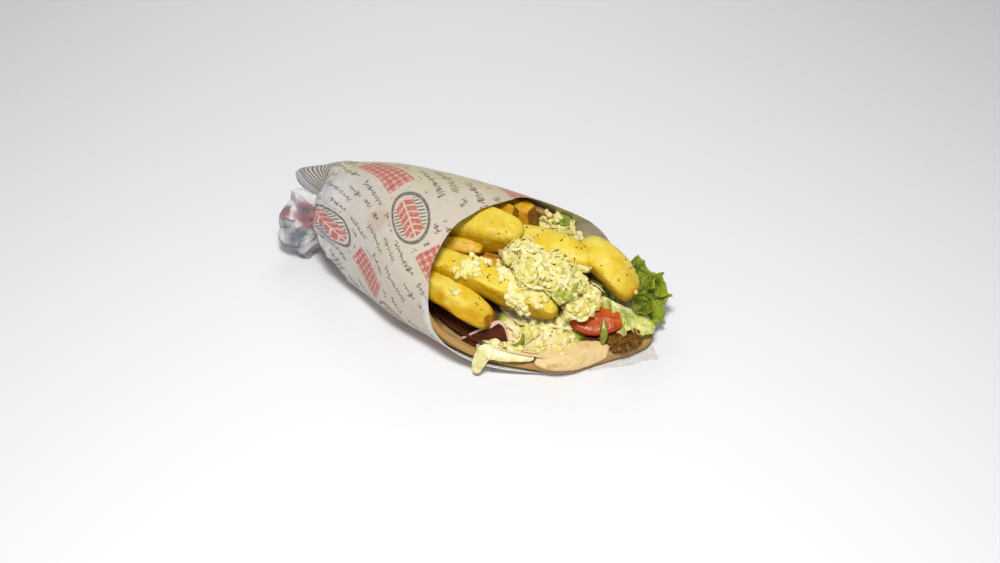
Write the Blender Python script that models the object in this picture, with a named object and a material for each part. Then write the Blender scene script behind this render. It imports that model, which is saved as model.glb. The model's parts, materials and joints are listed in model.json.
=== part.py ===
"""A vegetarian pita gyro lying on its back in a twisted paper wrap.

The origin is under the middle, on the surface it lies on. +X runs along the wrap from the
twisted tail to the open end, +Y points away from the low lip of the bread, and +Z is up.
Lengths are in millimetres until a mesh is finished, and girth is in degrees: 0 is the line
that the wrap rests on, positive goes up the far side and negative up the near side.
"""

import math
import random

import bmesh
import bpy
import numpy as np
from mathutils import Matrix, Vector, noise
from mathutils.bvhtree import BVHTree

MILLIMETRE = 0.001

# Driving sizes
PAPER = 0.7
BREAD = 6.5
GAP = 0.35
ROOM = 0.45
SAG = 1.2
SLUMP = 1.2
PITA_INSET = PAPER + GAP
FILLING_INSET = PITA_INSET + BREAD + GAP
SHIFT = (7.1, 3.5)

# Stations along the wrap, each a pair of x and the value there
CENTRE = ((-90, 3), (-40, 3), (0, 1), (40, 0), (80, 6), (120, 10))
NEAR_HALF = ((-90, 36), (-40, 51), (0, 57), (40, 62), (60, 60), (80, 56), (120, 32))
FAR_HALF = ((-90, 36), (-40, 48), (0, 50), (40, 51), (80, 42), (120, 24))
HEIGHT = ((-90, 54), (-40, 64), (0, 66), (40, 64), (80, 58), (120, 54))
SKEW = ((-90, 0.6), (-60, 0.38), (-20, 0.04), (0, 0.0))
SQUARENESS = ((-90, 0.85), (0, 0.8), (40, 0.75), (80, 0.64), (120, 0.6))


def through(stations, at):
    """The smooth curve through a few (place, value) stations, level beyond its ends."""
    place, value = np.array(stations, float).T
    slope = np.gradient(value, place)
    at = np.clip(at, place[0], place[-1])
    i = np.clip(np.searchsorted(place, at) - 1, 0, len(place) - 2)
    gap = place[i + 1] - place[i]
    u = (at - place[i]) / gap
    start = (1 + 2 * u) * (1 - u) ** 2 * value[i] + u * (1 - u) ** 2 * gap * slope[i]
    end = u * u * (3 - 2 * u) * value[i + 1] - u * u * (1 - u) * gap * slope[i + 1]
    return start + end


def girth(x, turn, inset=0.0):
    """Points on the wrapped form at x and turn, moved inwards by inset."""
    x, turn, inset = np.broadcast_arrays(np.asarray(x, float), turn, inset)
    angle = np.radians(turn)
    square = through(SQUARENESS, x)
    half = np.where(angle < 0, through(NEAR_HALF, x), through(FAR_HALF, x)) - inset
    y_off = half * np.sign(angle) * np.abs(np.sin(angle)) ** square
    rise = (1 - np.sign(np.cos(angle)) * np.abs(np.cos(angle)) ** square) / 2
    z = inset + (through(HEIGHT, x) - 2 * inset) * rise ** SLUMP - SAG
    skewed = x - through(SKEW, x) * y_off
    return np.stack([skewed, through(CENTRE, x) + y_off, np.maximum(z, inset)], -1)


def floor_at(x, y, inset):
    """Height of the inside of the wrapped form, moved inwards by inset, under a place."""
    off = y - float(through(CENTRE, x))
    half = float(through(NEAR_HALF if off < 0 else FAR_HALF, x)) - inset
    square = float(through(SQUARENESS, x))
    sine = min(abs(off) / half, 1.0) ** (1 / square)
    return float(girth(x, math.degrees(math.asin(sine)) * (1 if off > 0 else -1), inset)[2])


def bumps(point, size, seed=0.0):
    """Smooth noise between about -1 and 1 at a place, for bumps of that size."""
    return noise.noise(Vector(point) / size + Vector((seed, 2.7 * seed, -1.3 * seed)))


# Making objects


def fresh_scene():
    for obj in list(bpy.data.objects):
        bpy.data.objects.remove(obj)
    gyro = bpy.data.collections.new("vegetarian_gyro")
    bpy.context.scene.collection.children.link(gyro)


def finish_material(name, colour, roughness):
    made = bpy.data.materials.new(name)
    made.use_nodes = True
    shader = made.node_tree.nodes["Principled BSDF"]
    shader.inputs["Base Color"].default_value = (*colour, 1.0)
    shader.inputs["Roughness"].default_value = roughness
    shader.inputs["Metallic"].default_value = 0.0
    return made


def put(name, bm, finish):
    """Makes an object of a mesh in millimetres, scaled to metres and centred."""
    bmesh.ops.recalc_face_normals(bm, faces=bm.faces)
    if bm.calc_volume(signed=True) < 0:
        bmesh.ops.reverse_faces(bm, faces=bm.faces)
    bm.transform(Matrix.Translation((*SHIFT, 0)))
    bm.transform(Matrix.Scale(MILLIMETRE, 4))
    mesh = bpy.data.meshes.new(name)
    bm.to_mesh(mesh)
    bm.free()
    mesh.materials.append(finish)
    mesh.shade_smooth()
    obj = bpy.data.objects.new(name, mesh)
    bpy.data.collections["vegetarian_gyro"].objects.link(obj)
    return obj


def ball(around, rings):
    bm = bmesh.new()
    bmesh.ops.create_uvsphere(bm, u_segments=around, v_segments=rings, radius=1.0)
    return bm


def closed_loft(rings):
    """Skins rings of equal length into one closed body, each end closed by its middle."""
    bm = bmesh.new()
    loops = [[bm.verts.new(point) for point in ring] for ring in rings]
    count = len(loops[0])
    for first, second in zip(loops, loops[1:]):
        for i in range(count):
            j = (i + 1) % count
            bm.faces.new((first[i], first[j], second[j], second[i]))
    for loop in (loops[0], loops[-1]):
        centre = bm.verts.new(sum((vert.co for vert in loop), Vector()) / count)
        for i in range(count):
            bm.faces.new((loop[i], loop[(i + 1) % count], centre))
    return bm


def path_points(points, count):
    """A smooth curve through points, at count even steps of their order."""
    order = np.arange(len(points))
    steps = np.linspace(0, len(points) - 1, count)
    axes = [through(np.stack([order, column], -1), steps) for column in np.array(points).T]
    return np.stack(axes, -1)


def applied(obj):
    """Replaces the object's mesh by what its modifiers make of it."""
    graph = bpy.context.evaluated_depsgraph_get()
    mesh = bpy.data.meshes.new_from_object(obj.evaluated_get(graph))
    obj.modifiers.clear()
    obj.data = mesh
    return obj


def keep_largest(obj):
    """Drops the loose scraps that a cut leaves, so that one body stays."""
    bm = bmesh.new()
    bm.from_mesh(obj.data)
    left, bodies = set(bm.verts), []
    while left:
        body, edge = [], [left.pop()]
        while edge:
            vert = edge.pop()
            body.append(vert)
            for other in (link.other_vert(vert) for link in vert.link_edges):
                if other in left:
                    left.discard(other)
                    edge.append(other)
        bodies.append(body)

    def volume(body):
        total = 0.0
        for face in {face for vert in body for face in vert.link_faces}:
            first, *rest = (vert.co for vert in face.verts)
            total += sum(first.dot(b.cross(c)) for b, c in zip(rest, rest[1:]))
        return round(total, 12)

    bodies.sort(key=volume, reverse=True)
    scraps = [vert for body in bodies[1:] for vert in body]
    bmesh.ops.delete(bm, geom=scraps, context="VERTS")
    bm.to_mesh(obj.data)
    bm.free()
    return obj


def joined(obj, others, operation):
    """One Boolean with a collection of other objects, applied, and the others removed."""
    group = bpy.data.collections.new("for_" + obj.name)
    bpy.context.scene.collection.children.link(group)
    for other in others:
        for holder in list(other.users_collection):
            holder.objects.unlink(other)
        group.objects.link(other)
    change = obj.modifiers.new(operation.title(), "BOOLEAN")
    change.operation = operation
    change.operand_type = "COLLECTION"
    change.collection = group
    change.solver = "MANIFOLD"
    applied(obj)
    for other in list(group.objects):
        bpy.data.objects.remove(other)
    bpy.data.collections.remove(group)
    return keep_largest(obj)


def swollen(obj, by=ROOM):
    """A copy that is fatter by a gap all over, to cut room for the object."""
    copy = obj.copy()
    copy.data = obj.data.copy()
    copy.name = "room_for_" + obj.name
    bpy.data.collections["vegetarian_gyro"].objects.link(copy)
    bm = bmesh.new()
    bm.from_mesh(copy.data)
    bm.normal_update()
    shifts = [vert.normal * by * MILLIMETRE for vert in bm.verts]
    for vert, shift in zip(bm.verts, shifts):
        vert.co += shift
    bm.to_mesh(copy.data)
    bm.free()
    return copy


def tree_of(obj):
    bm = bmesh.new()
    bm.from_mesh(obj.data)
    tree = BVHTree.FromBMesh(bm)
    bm.free()
    return tree


def clear_of(obj, neighbours):
    """Cuts room in the object for the neighbours that it would touch."""
    rooms = []
    for other in neighbours:
        room = swollen(other)
        if tree_of(room).overlap(tree_of(obj)):
            rooms.append(room)
        else:
            bpy.data.objects.remove(room)
    return joined(obj, rooms, "DIFFERENCE") if rooms else obj


# The printed paper wrap, with its twisted tail

# Where the sheet's front edge runs, as pairs of turn and x
PAPER_EDGE = (
    (-180, 6), (-170, 2), (-160, 1.5), (-145, 2), (-130, 3), (-115, 6), (-100, 8),
    (-90, 10), (-80, 15), (-70, 23), (-60, 36), (-50, 52), (-40, 70), (-30, 84), (-20, 99),
    (-12, 111), (-5, 118), (-1, 118), (8, 109), (24, 99), (42, 91), (60, 83), (75, 76),
    (90, 70), (100, 65), (110, 59), (120, 51), (130, 36), (140, 23), (150, 18),
    (160, 16), (170, 12), (180, 6),
)
WRAP_AROUND = 48
WRAP_RINGS = 8
SHOULDER_X = -84.0
CAVITY_X = -78.0

# The tail leaves the neck and spreads into a crumpled fan
NECK = Vector((-98.0, -3.0, 25.0))
TAIL_END = Vector((-125.0, -10.0, 15.0))
FAN_WAY = Vector((-13.0, 30.0, 25.0)).normalized()


def tail_ring(share, turn):
    """A ring of the crumpled tail: share runs from 0 at its end to 1 at the neck."""
    along = (TAIL_END - NECK).normalized()
    wide = (FAN_WAY - along * FAN_WAY.dot(along)).normalized()
    high = wide.cross(along)
    spread = float(through(((0, 16), (0.25, 20.5), (0.55, 17), (0.85, 9.5), (1, 8.5)), share))
    depth = float(through(((0, 9), (0.25, 12), (0.55, 11.5), (0.85, 8.5), (1, 8.5)), share))
    swirl = 150 * share
    ring = []
    for degrees in turn:
        angle = math.radians(degrees - 130)
        deep = 0.24 * (1 - 0.75 * share)
        folds = 1 + deep * math.cos(math.radians(5 * degrees + swirl))
        folds += deep * 0.5 * math.cos(math.radians(9 * degrees - 2 * swirl))
        point = NECK.lerp(TAIL_END, 1 - share)
        point = point + wide * (spread * folds * math.cos(angle))
        point = point + high * (depth * folds * math.sin(angle))
        ring.append((point.x, point.y, max(point.z, 0.5)))
    return np.array(ring)


def shoulder_ring(share, turn):
    """A ring from the neck, at share 0, out to the full width of the wrap at 1."""
    neck = tail_ring(1.0, turn)
    full = girth(SHOULDER_X, turn)
    soft = (1 + np.cos(np.radians(turn + 25))) / 2
    out = (1 - soft) * math.sqrt(1 - (1 - share) ** 2) + soft * share ** 0.9
    ring = neck + (full - neck) * np.stack([share ** (1.8 - 0.7 * soft), out, out], -1)
    middle = ring.mean(axis=0)
    pleats = 1 + 0.06 * np.sin(np.pi * share) * np.cos(np.radians(10 * turn + 40))
    ring[:, 1:] = middle[1:] + (ring[:, 1:] - middle[1:]) * pleats[:, None]
    ear = np.exp(-((turn - 108) / 30.0) ** 2) * math.sin(math.pi * share ** 0.8)
    ring += ear[:, None] * np.array([-33.0, -14.0, 1.0])
    ring[:, 2] = np.maximum(ring[:, 2], 0)
    return ring


def body_ring(share, turn, inset=0.0, start=SHOULDER_X):
    """A ring of the wrapped body, from its shoulder at share 0 to the front edge at 1."""
    edge = through(PAPER_EDGE, turn)
    return girth(start + (edge - start) * share, turn, inset)


def make_wrap(finish):
    turn = np.linspace(-180, 180, WRAP_AROUND, endpoint=False)
    rings = [tail_ring(share, turn) for share in np.linspace(0, 0.9, 6)]
    rings[0] = rings[0] * 0.55 + np.array(TAIL_END) * 0.45 - np.array([0, 0, 0])
    rings += [shoulder_ring(share, turn) for share in (0.0, 0.1, 0.3, 0.62, 0.85)]
    shares = np.linspace(0, 1, WRAP_RINGS)
    rings += [body_ring(share, turn) for share in shares]
    rings += [body_ring(share, turn, PAPER, CAVITY_X) for share in shares[::-1]]
    return put("paper_wrap", closed_loft(rings), finish)


# The flatbread: a lens laid in the wrap, with the fold of its near edge fused on

PITA_NEAR = (
    (-68, -90), (-55, -115), (-30, -126), (-10, -115), (1, -99), (8, -86), (16, -74), (24, -66),
    (34, -60), (48, -54), (64, -50), (80, -44), (92, -25), (104, -11), (112, 0),
)
PITA_FAR = (
    (-68, 100), (-55, 135), (-30, 158), (-10, 150), (4, 136), (20, 124), (40, 107), (60, 84), (76, 55),
    (92, 30), (104, 16), (112, 6),
)
FOLD_NEAR = ((66, -52), (72, -52), (80, -47), (88, -34), (95, -21))
FOLD_FAR = ((66, -34), (72, -24), (80, -18), (88, -14), (95, -16))


def laid_lens(name, finish, near, far, inset, thickness, around, rings, rough, seed):
    """A flat rounded slab between two edges, bent to the wrapped form at an inset."""
    bm = ball(around, rings)
    first, last = near[0][0], near[-1][0]
    for vert in bm.verts:
        u, v, layer = vert.co
        chord = max(math.sqrt(max(1 - u * u, 0)), 1e-4)
        x = (first + last) / 2 + u * (last - first) / 2
        low, high = float(through(near, x)), float(through(far, x))
        turn = low + (high - low) * (min(max(v / chord, -1), 1) + 1) / 2
        side = math.copysign(abs(layer) ** 0.35, layer) if layer else 0.0
        swell = 1 + rough * bumps((x, turn / 2, 10 * side), 14, seed)
        point = Vector(girth(x, turn, inset + thickness * swell * (1 + side) / 2))
        point.x += 0.8 * rough * thickness * bumps((x, turn, 0), 12, seed) * math.hypot(u, v) ** 6
        vert.co = point
    return put(name, bm, finish)


def make_pita(finish):
    pita = laid_lens("pita", finish, PITA_NEAR, PITA_FAR, PITA_INSET, BREAD, 40, 12, 0.1, 1.0)
    inset = PITA_INSET + 2.0
    fold = laid_lens("fold", finish, FOLD_NEAR, FOLD_FAR, inset, 10.0, 18, 8, 0.2, 5.0)
    return joined(pita, [fold], "UNION")


# Potato wedges: a soft box section that narrows towards its ridge, bent along its length

# Each wedge: start, end, width, depth, roll about its length, sideways bow, lift, ridge
WEDGES = {
    "potato_wedge_big": ((-36, 1, 49), (31, 9, 50), 28, 25, -24, 0, 1, 0.35),
    "potato_wedge_long": ((-42, -25, 39), (66, -17, 27), 21, 18, -20, 4, 6, 0.25),
    "potato_wedge_mid": ((17, 16, 41), (73, 15, 42), 23, 20, -8, 2, 3, 0.2),
    "potato_wedge_end": ((58, 26, 44), (97, 18, 26), 23, 20, -14, 2, 5, 0.2),
    "potato_wedge_near": ((-34, -32, 37), (38, -38, 23), 19, 16, -34, 3, 3, 0.25),
    "potato_wedge_back": ((-16, 22, 38), (30, 32, 45), 14, 25, -8, 0, 0, 0.1),
    "potato_wedge_rear": ((-24, 15, 48), (20, 24, 53), 10, 12, 0, 0, 1, 0.2),
    "potato_wedge_small": ((-36, -17, 43), (13, -3, 43), 13, 11, 5, 1, 1, 0.2),
    "potato_wedge_under": ((4, -2, 33), (42, 2, 32), 18, 12, 5, 0, 0, 0.2),
}
WEDGE_AROUND = 12
WEDGE_RINGS = 9


def make_wedge(name, finish, seed, start, end, width, depth, roll, bow, lift, ridge):
    start, end = Vector(start), Vector(end)
    along = (end - start).normalized()
    side = along.cross(Vector((0, 0, 1))).normalized()
    side.rotate(Matrix.Rotation(math.radians(roll), 3, along))
    up = side.cross(along)
    middle, reach = (start + end) / 2, (end - start).length / 2
    bm = ball(WEDGE_AROUND, WEDGE_RINGS)
    for vert in bm.verts:
        a, b, t = vert.co
        ring = math.hypot(a, b)
        t = math.copysign(abs(t) ** 0.7, t)
        a, b = (a / ring, b / ring) if ring > 1e-6 else (0.0, 0.0)
        a, b = (math.copysign(abs(c) ** 0.7, c) * ring ** 0.5 for c in (a, b))
        spot = (seed * 9 + t * reach, a * 9, b * 9)
        swell = 1 + 0.1 * bumps(spot, 16, seed)
        vert.co = (
            middle
            + along * t * reach
            + side * (a * width / 2 * (1 - ridge * b) * swell + bow * (1 - t * t))
            + up * (b * depth / 2 * swell + lift * (1 - t * t))
        )
    return put(name, bm, finish)


# Small pieces: crumbs of cheese, shreds, and thin wavy leaves


def make_crumb(name, finish, centre, size, chance):
    """A crumbled bit of cheese: a cube with every corner moved at random."""
    bm = bmesh.new()
    bmesh.ops.create_cube(bm, size=size * 0.8)
    turned = Matrix.Rotation(chance.uniform(0, 6.3), 3, (0.3, 0.5, 0.8))
    for vert in bm.verts:
        jolt = Vector([chance.uniform(-0.16, 0.16) * size for _ in range(3)])
        vert.co = Vector(centre) + turned @ (vert.co + jolt)
    return put(name, bm, finish)


def make_strip(name, finish, points, width, thick, count=8, around=6, tip=0.35, flat=(0, 0, 1)):
    """A strip with a soft flat section along a smooth path, narrowing to its ends."""
    path = [Vector(point) for point in path_points(points, count)]
    rings = []
    for i, point in enumerate(path):
        along = (path[min(i + 1, count - 1)] - path[max(i - 1, 0)]).normalized()
        side = along.cross(Vector(flat)).normalized()
        up = side.cross(along)
        share = i / (count - 1)
        narrow = tip + (1 - tip) * math.sin(math.pi * share) ** 0.5
        ring = []
        for k in range(around):
            angle = 2 * math.pi * (k + 0.5) / around
            ring.append(point + side * (math.cos(angle) * width / 2 * narrow)
                        + up * (math.sin(angle) * thick / 2 * max(narrow, 0.6)))
        rings.append(ring)
    return put(name, closed_loft(rings), finish)


def make_sheet(name, finish, root, rim, thick, across, out, ruffle, waves, seed):
    """A thin wavy sheet from a root line to a rim line, both faces cut alike."""
    root, rim = path_points(root, across), path_points(rim, across)
    grid = []
    for i in range(across):
        row = []
        for j in range(out):
            v = j / (out - 1)
            spot = Vector(root[i] * (1 - v) + rim[i] * v)
            wave = math.sin(2 * math.pi * waves * i / (across - 1) + seed) * v ** 1.4
            wave += 0.6 * bumps(spot, 9, seed) * v
            spot.z += ruffle * wave
            row.append(spot)
        grid.append(row)
    def normal(i, j):
        du = grid[min(i + 1, across - 1)][j] - grid[max(i - 1, 0)][j]
        dv = grid[i][min(j + 1, out - 1)] - grid[i][max(j - 1, 0)]
        return du.cross(dv).normalized()
    bm = bmesh.new()
    faces = []
    for sign in (1, -1):
        faces.append([
            [bm.verts.new(grid[i][j] + normal(i, j) * sign * thick / 2) for j in range(out)]
            for i in range(across)
        ])
    top, low = faces
    for layer in (top, low):
        for i in range(across - 1):
            for j in range(out - 1):
                a, b = layer[i][j], layer[i + 1][j]
                c, d = layer[i + 1][j + 1], layer[i][j + 1]
                bm.faces.new((a, b, c))
                bm.faces.new((a, c, d))
    border = [(i, 0) for i in range(across - 1)]
    border += [(across - 1, j) for j in range(out - 1)]
    border += [(i, out - 1) for i in range(across - 1, 0, -1)]
    border += [(0, j) for j in range(out - 1, 0, -1)]
    for (i, j), (k, m) in zip(border, border[1:] + border[:1]):
        bm.faces.new((top[i][j], top[k][m], low[k][m], low[i][j]))
    return put(name, bm, finish)


def make_slice(name, finish, centre, size, lean, spin, seed=0.0, around=18, rings=8):
    """A round slice with a soft rim, leaning about its own x and then spun about z."""
    turned = Matrix.Rotation(math.radians(spin), 3, "Z") @ Matrix.Rotation(math.radians(lean), 3, "X")
    bm = ball(around, rings)
    for vert in bm.verts:
        a, b, layer = vert.co
        ring = math.hypot(a, b)
        keep = ring ** 0.35 / ring if ring > 1e-6 else 1.0
        swell = 1 + 0.1 * bumps((a * 9, b * 9, layer * 4), 8, seed)
        spot = Vector((a * keep * size[0] / 2, b * keep * size[1] / 2, layer * size[2] / 2))
        vert.co = Vector(centre) + turned @ (spot * swell)
    return put(name, bm, finish)


LEAVES = {
    "lettuce_leaf": (
        ((72, 30, 26), (82, 30, 27), (91, 24, 22), (97, 16, 14), (97, 6, 12)),
        ((74, 42, 28), (90, 46, 29), (109, 42, 19), (112, 26, 9), (106, 10, 9)),
        1.0, 24, 5, 2.4, 4.5, 1.0,
    ),
    "lettuce_leaf_pale": (
        ((72, 6, 27), (82, 10, 25), (92, 12, 19), (104, 22, 12)),
        ((76, -3, 27), (87, -3, 21), (99, 1, 12), (113, 19, 8)),
        1.0, 17, 4, 1.6, 3.0, 3.0,
    ),
}


def make_onion(finish):
    return make_sheet(
        "red_onion", finish,
        ((22, -47.5, 11), (35, -48, 9), (50, -41, 9)),
        ((23, -46.5, 14), (40, -34, 24), (50, -40, 12.5)),
        2.2, 11, 5, 0.0, 0, 0.0,
    )


# Heaps: a smaller core with the pieces that show fused on

# Lumps of the heap's core: centre and radius
HEAP_LUMPS = (
    ((34, 2, 44), 8), ((45, -3, 43), 11), ((56, -5, 41), 11.5), ((47, -13, 45), 8.5),
    ((65, -3, 36), 10), ((75, -8, 27), 8.5), ((76, 1, 27), 8),
)
HEAP_FLAT = 0.7
HEAP_CRUMBS = 20
HEAP_SHREDS = 6


def make_heap(finish):
    chance = random.Random(15)
    lumps = []
    for number, (centre, radius) in enumerate(HEAP_LUMPS):
        bm = bmesh.new()
        bmesh.ops.create_icosphere(bm, subdivisions=2, radius=radius)
        for vert in bm.verts:
            vert.co.z *= HEAP_FLAT
            vert.co += Vector(centre)
            vert.co += (vert.co - Vector(centre)) * 0.3 * bumps(vert.co, 7, 4.0)
        lumps.append(put("lump_%d" % number, bm, finish))
    core = lumps[1]
    core.name = "feta_heap"
    pieces = lumps[:1] + lumps[2:]
    for count in range(HEAP_CRUMBS + HEAP_SHREDS):
        centre, radius = HEAP_LUMPS[count % len(HEAP_LUMPS)]
        way = Vector((chance.uniform(-1, 1), chance.uniform(-1, 1), chance.uniform(0.1, 1)))
        way = way.normalized() * radius * chance.uniform(0.9, 1.05)
        spot = Vector(centre) + Vector((way.x, way.y, way.z * HEAP_FLAT))
        name = "piece_%02d" % count
        if count < HEAP_CRUMBS:
            pieces.append(make_crumb(name, finish, spot, chance.uniform(3.5, 6.5), chance))
        else:
            way = Vector((chance.uniform(-1, 1), chance.uniform(-1, 1), chance.uniform(0, 0.5)))
            way = way.normalized() * chance.uniform(5, 8)
            bend = Vector((0, 0, chance.uniform(1, 3)))
            line = (spot - way, spot + bend, spot + way)
            pieces.append(make_strip(name, finish, line, 2.8, 1.5, 4, 4))
    return joined(core, pieces, "UNION")


BED_NEAR = ((-60, -24), (0, -37), (16, -44), (40, -48), (60, -44), (80, -31), (100, -4))
BED_FAR = ((-60, 26), (0, 37), (40, 41), (56, 39), (70, 32), (84, 23), (100, 10))
BED_LEVEL = ((-60, 32), (0, 31), (40, 29), (60, 25), (80, 17), (100, 9))

# Where the bed shows: x range, y range, crumbs and shreds there
BED_SPOTS = (
    ((26, 64), (33, 42), 6, 4),
    ((66, 92), (-24, -8), 3, 2),
    ((28, 68), (-44, -27), 4, 3),
)


def bed_top(x, y):
    far = y - 5
    tilt = 0.36 if far > 0 else 0.32
    return float(through(BED_LEVEL, x)) + tilt * far


def make_bed(finish):
    bm = ball(18, 8)
    for vert in bm.verts:
        u, v, layer = vert.co
        chord = max(math.sqrt(max(1 - u * u, 0)), 1e-4)
        x = 25 + u * 73
        low, high = float(through(BED_NEAR, x)), float(through(BED_FAR, x))
        y = low + (high - low) * (min(max(v / chord, -1), 1) + 1) / 2
        side = (1 + (math.copysign(abs(layer) ** 0.4, layer) if layer else 0.0)) / 2
        floor = floor_at(x, y, FILLING_INSET + 1)
        level = max(bed_top(x, y) + 1.5 * bumps((x, y, 0), 9, 2.0), floor + 3)
        vert.co = (x, y, floor + (level - floor) * side)
    bed = put("salad_bed", bm, finish)
    chance = random.Random(5)
    pieces = []
    for x_range, y_range, crumbs, shreds in BED_SPOTS:
        for count in range(crumbs + shreds):
            x, y = chance.uniform(*x_range), chance.uniform(*y_range)
            floor = floor_at(x, y, FILLING_INSET)
            spot = Vector((x, y, max(bed_top(x, y), floor + 3)))
            name = "bed_piece_%02d" % len(pieces)
            if count < crumbs:
                spot.z += 0.5
                pieces.append(make_crumb(name, finish, spot, chance.uniform(4, 7), chance))
            else:
                way = Vector((chance.uniform(-1, 1), chance.uniform(-1, 1), 0.0))
                way = way.normalized() * chance.uniform(5, 8)
                bend = Vector((0, 0, chance.uniform(1.5, 3)))
                line = (spot - way, spot + bend, spot + way)
                pieces.append(make_strip(name, finish, line, 3.2, 1.6, 3, 4))
    return joined(bed, pieces, "UNION")


def build():
    fresh_scene()
    paper = finish_material("printed_paper", (0.74, 0.72, 0.68), 0.6)
    bread = finish_material("flatbread", (0.78, 0.55, 0.30), 0.75)
    potato = finish_material("fried_potato", (0.85, 0.58, 0.08), 0.4)
    cheese = finish_material("feta_and_cabbage", (0.88, 0.84, 0.55), 0.6)
    salad = finish_material("shredded_salad", (0.62, 0.68, 0.25), 0.5)
    lettuce = finish_material("lettuce", (0.35, 0.60, 0.08), 0.4)
    pale_leaf = finish_material("pale_lettuce", (0.70, 0.78, 0.35), 0.4)
    tomato = finish_material("tomato", (0.75, 0.10, 0.02), 0.25)
    onion = finish_material("red_onion", (0.20, 0.02, 0.03), 0.35)
    white_onion = finish_material("white_onion", (0.80, 0.76, 0.65), 0.35)
    pepper = finish_material("green_pepper", (0.30, 0.45, 0.02), 0.3)
    pickle = finish_material("pickle", (0.16, 0.20, 0.03), 0.3)
    patty = finish_material("vegetable_patty", (0.45, 0.20, 0.05), 0.7)
    wrap = make_wrap(paper)
    bread_piece = make_pita(bread)
    done = [bread_piece]

    def settle(piece):
        clear_of(piece, done + [wrap])
        done.append(piece)

    for seed, (name, spec) in enumerate(WEDGES.items()):
        settle(make_wedge(name, potato, seed, *spec))
    settle(make_slice("tomato_slice", tomato, (84, -3, 18.5), (32, 17, 5.5), 28, 32, 1.0))
    settle(make_slice("pickle_slice", pickle, (75, 14, 29), (12, 11, 4), -15, 20, 2.0, 14, 6))
    settle(make_slice("vegetable_patty", patty, (98, -1, 9.5), (22, 17, 6), 4, 35, 3.0))
    settle(make_onion(onion))
    settle(make_strip("onion_inner", white_onion,
                      ((33, -48, 11), (38, -46.5, 13), (45, -44.5, 12)), 8, 1.8, 6, 6, 0.5, (0, -1, 1)))
    settle(make_strip("pepper_strip_near", pepper,
                      ((43, -44, 9), (50, -42.5, 9.5), (56, -34, 13), (58, -30, 17)), 3.2, 2.4, 9))
    settle(make_strip("pepper_strip_front", pepper,
                      ((89.5, -5, 24), (92.3, -10.2, 18), (92.4, -12.2, 10)), 4.0, 2.2, 8))
    settle(make_strip("cabbage_shred", cheese,
                      ((39, -57, 5), (38.5, -55, 10), (41, -49, 15), (51, -44, 14), (64, -38, 13)),
                      7.0, 1.6, 12, 6, 0.35, (0.3, -0.5, 0.8)))
    for name, spec in LEAVES.items():
        root, rim, thick, across, out, ruffle, waves, seed = spec
        finish = lettuce if name == "lettuce_leaf" else pale_leaf
        settle(make_sheet(name, finish, root, rim, thick, across, out, ruffle, waves, seed))
    heap = make_heap(cheese)
    settle(heap)
    settle(make_bed(salad))


build()
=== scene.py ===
"""How a vegetarian pita gyro looks, lying on its back in a twisted and printed paper wrap.

Points are worked out in millimetres in the wrap's own frame, +X from the twisted tail to the
open end, and go into a mesh in metres, moved by SHIFT. Girth is in degrees: 0 is the line that
the wrap rests on, positive goes up the far side and negative up the near side.
"""

import json
import math

import bpy
import numpy as np
from mathutils import Matrix, Vector, geometry, noise

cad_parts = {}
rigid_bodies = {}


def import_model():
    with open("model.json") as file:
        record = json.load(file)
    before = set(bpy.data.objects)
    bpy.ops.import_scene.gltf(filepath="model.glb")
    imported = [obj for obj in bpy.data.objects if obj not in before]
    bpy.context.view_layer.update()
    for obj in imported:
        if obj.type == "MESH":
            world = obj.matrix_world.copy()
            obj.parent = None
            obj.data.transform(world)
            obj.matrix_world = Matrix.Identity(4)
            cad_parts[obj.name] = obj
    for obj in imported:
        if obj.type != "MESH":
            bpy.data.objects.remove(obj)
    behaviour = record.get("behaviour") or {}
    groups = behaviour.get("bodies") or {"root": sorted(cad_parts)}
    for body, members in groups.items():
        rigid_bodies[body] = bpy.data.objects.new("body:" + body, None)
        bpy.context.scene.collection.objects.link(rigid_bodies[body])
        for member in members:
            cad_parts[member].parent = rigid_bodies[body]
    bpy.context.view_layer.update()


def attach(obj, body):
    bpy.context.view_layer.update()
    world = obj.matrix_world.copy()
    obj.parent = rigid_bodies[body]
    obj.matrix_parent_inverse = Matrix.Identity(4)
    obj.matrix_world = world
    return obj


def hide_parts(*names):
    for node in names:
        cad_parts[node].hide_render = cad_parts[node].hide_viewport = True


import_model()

# The table top, soft light and camera
# The wrap lies on a plain pale surface, under one broad soft lamp overhead and two weaker ones.
# The camera looks down at it from the near right, as a person at the table does.

MILLIMETRE = 0.001
SHIFT = np.array((7.1, 3.5, 0.0))
TABLE_WIDTH = 6.0
TABLE_COLOUR = (0.84, 0.84, 0.85, 1.0)
TABLE_ROUGHNESS = 0.7
# The camera's place in millimetres and degrees, and its lens
CAMERA_AZIMUTH = math.radians(29.0)
CAMERA_ELEVATION = math.radians(39.0)
CAMERA_AWAY = 750.0
CAMERA_LENS = 47.0
LOOKED_AT = Vector((6.0, -8.0, 25.0))
OFF_CENTRE = (17.0, -4.0)

# Each lamp's place and width in metres, and its watts
LAMPS = {
    "lamp_key": ((0.20, -0.34, 0.80), 0.20, 6.6),
    "lamp_back": ((-0.35, 0.55, 0.50), 0.40, 1.0),
    "lamp_front": ((0.45, -0.65, 0.35), 0.60, 0.5),
}
SKY_COLOUR = (0.95, 0.97, 1.0, 1.0)
SKY_STRENGTH = 0.27

bpy.ops.mesh.primitive_plane_add(size=TABLE_WIDTH)
table_top = bpy.context.object
table_top.name = "table_top"
pale = bpy.data.materials.new("pale_surface")
pale.use_nodes = True
pale_sockets = pale.node_tree.nodes["Principled BSDF"].inputs
pale_sockets["Base Color"].default_value = TABLE_COLOUR
pale_sockets["Roughness"].default_value = TABLE_ROUGHNESS
table_top.data.materials.append(pale)

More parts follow.
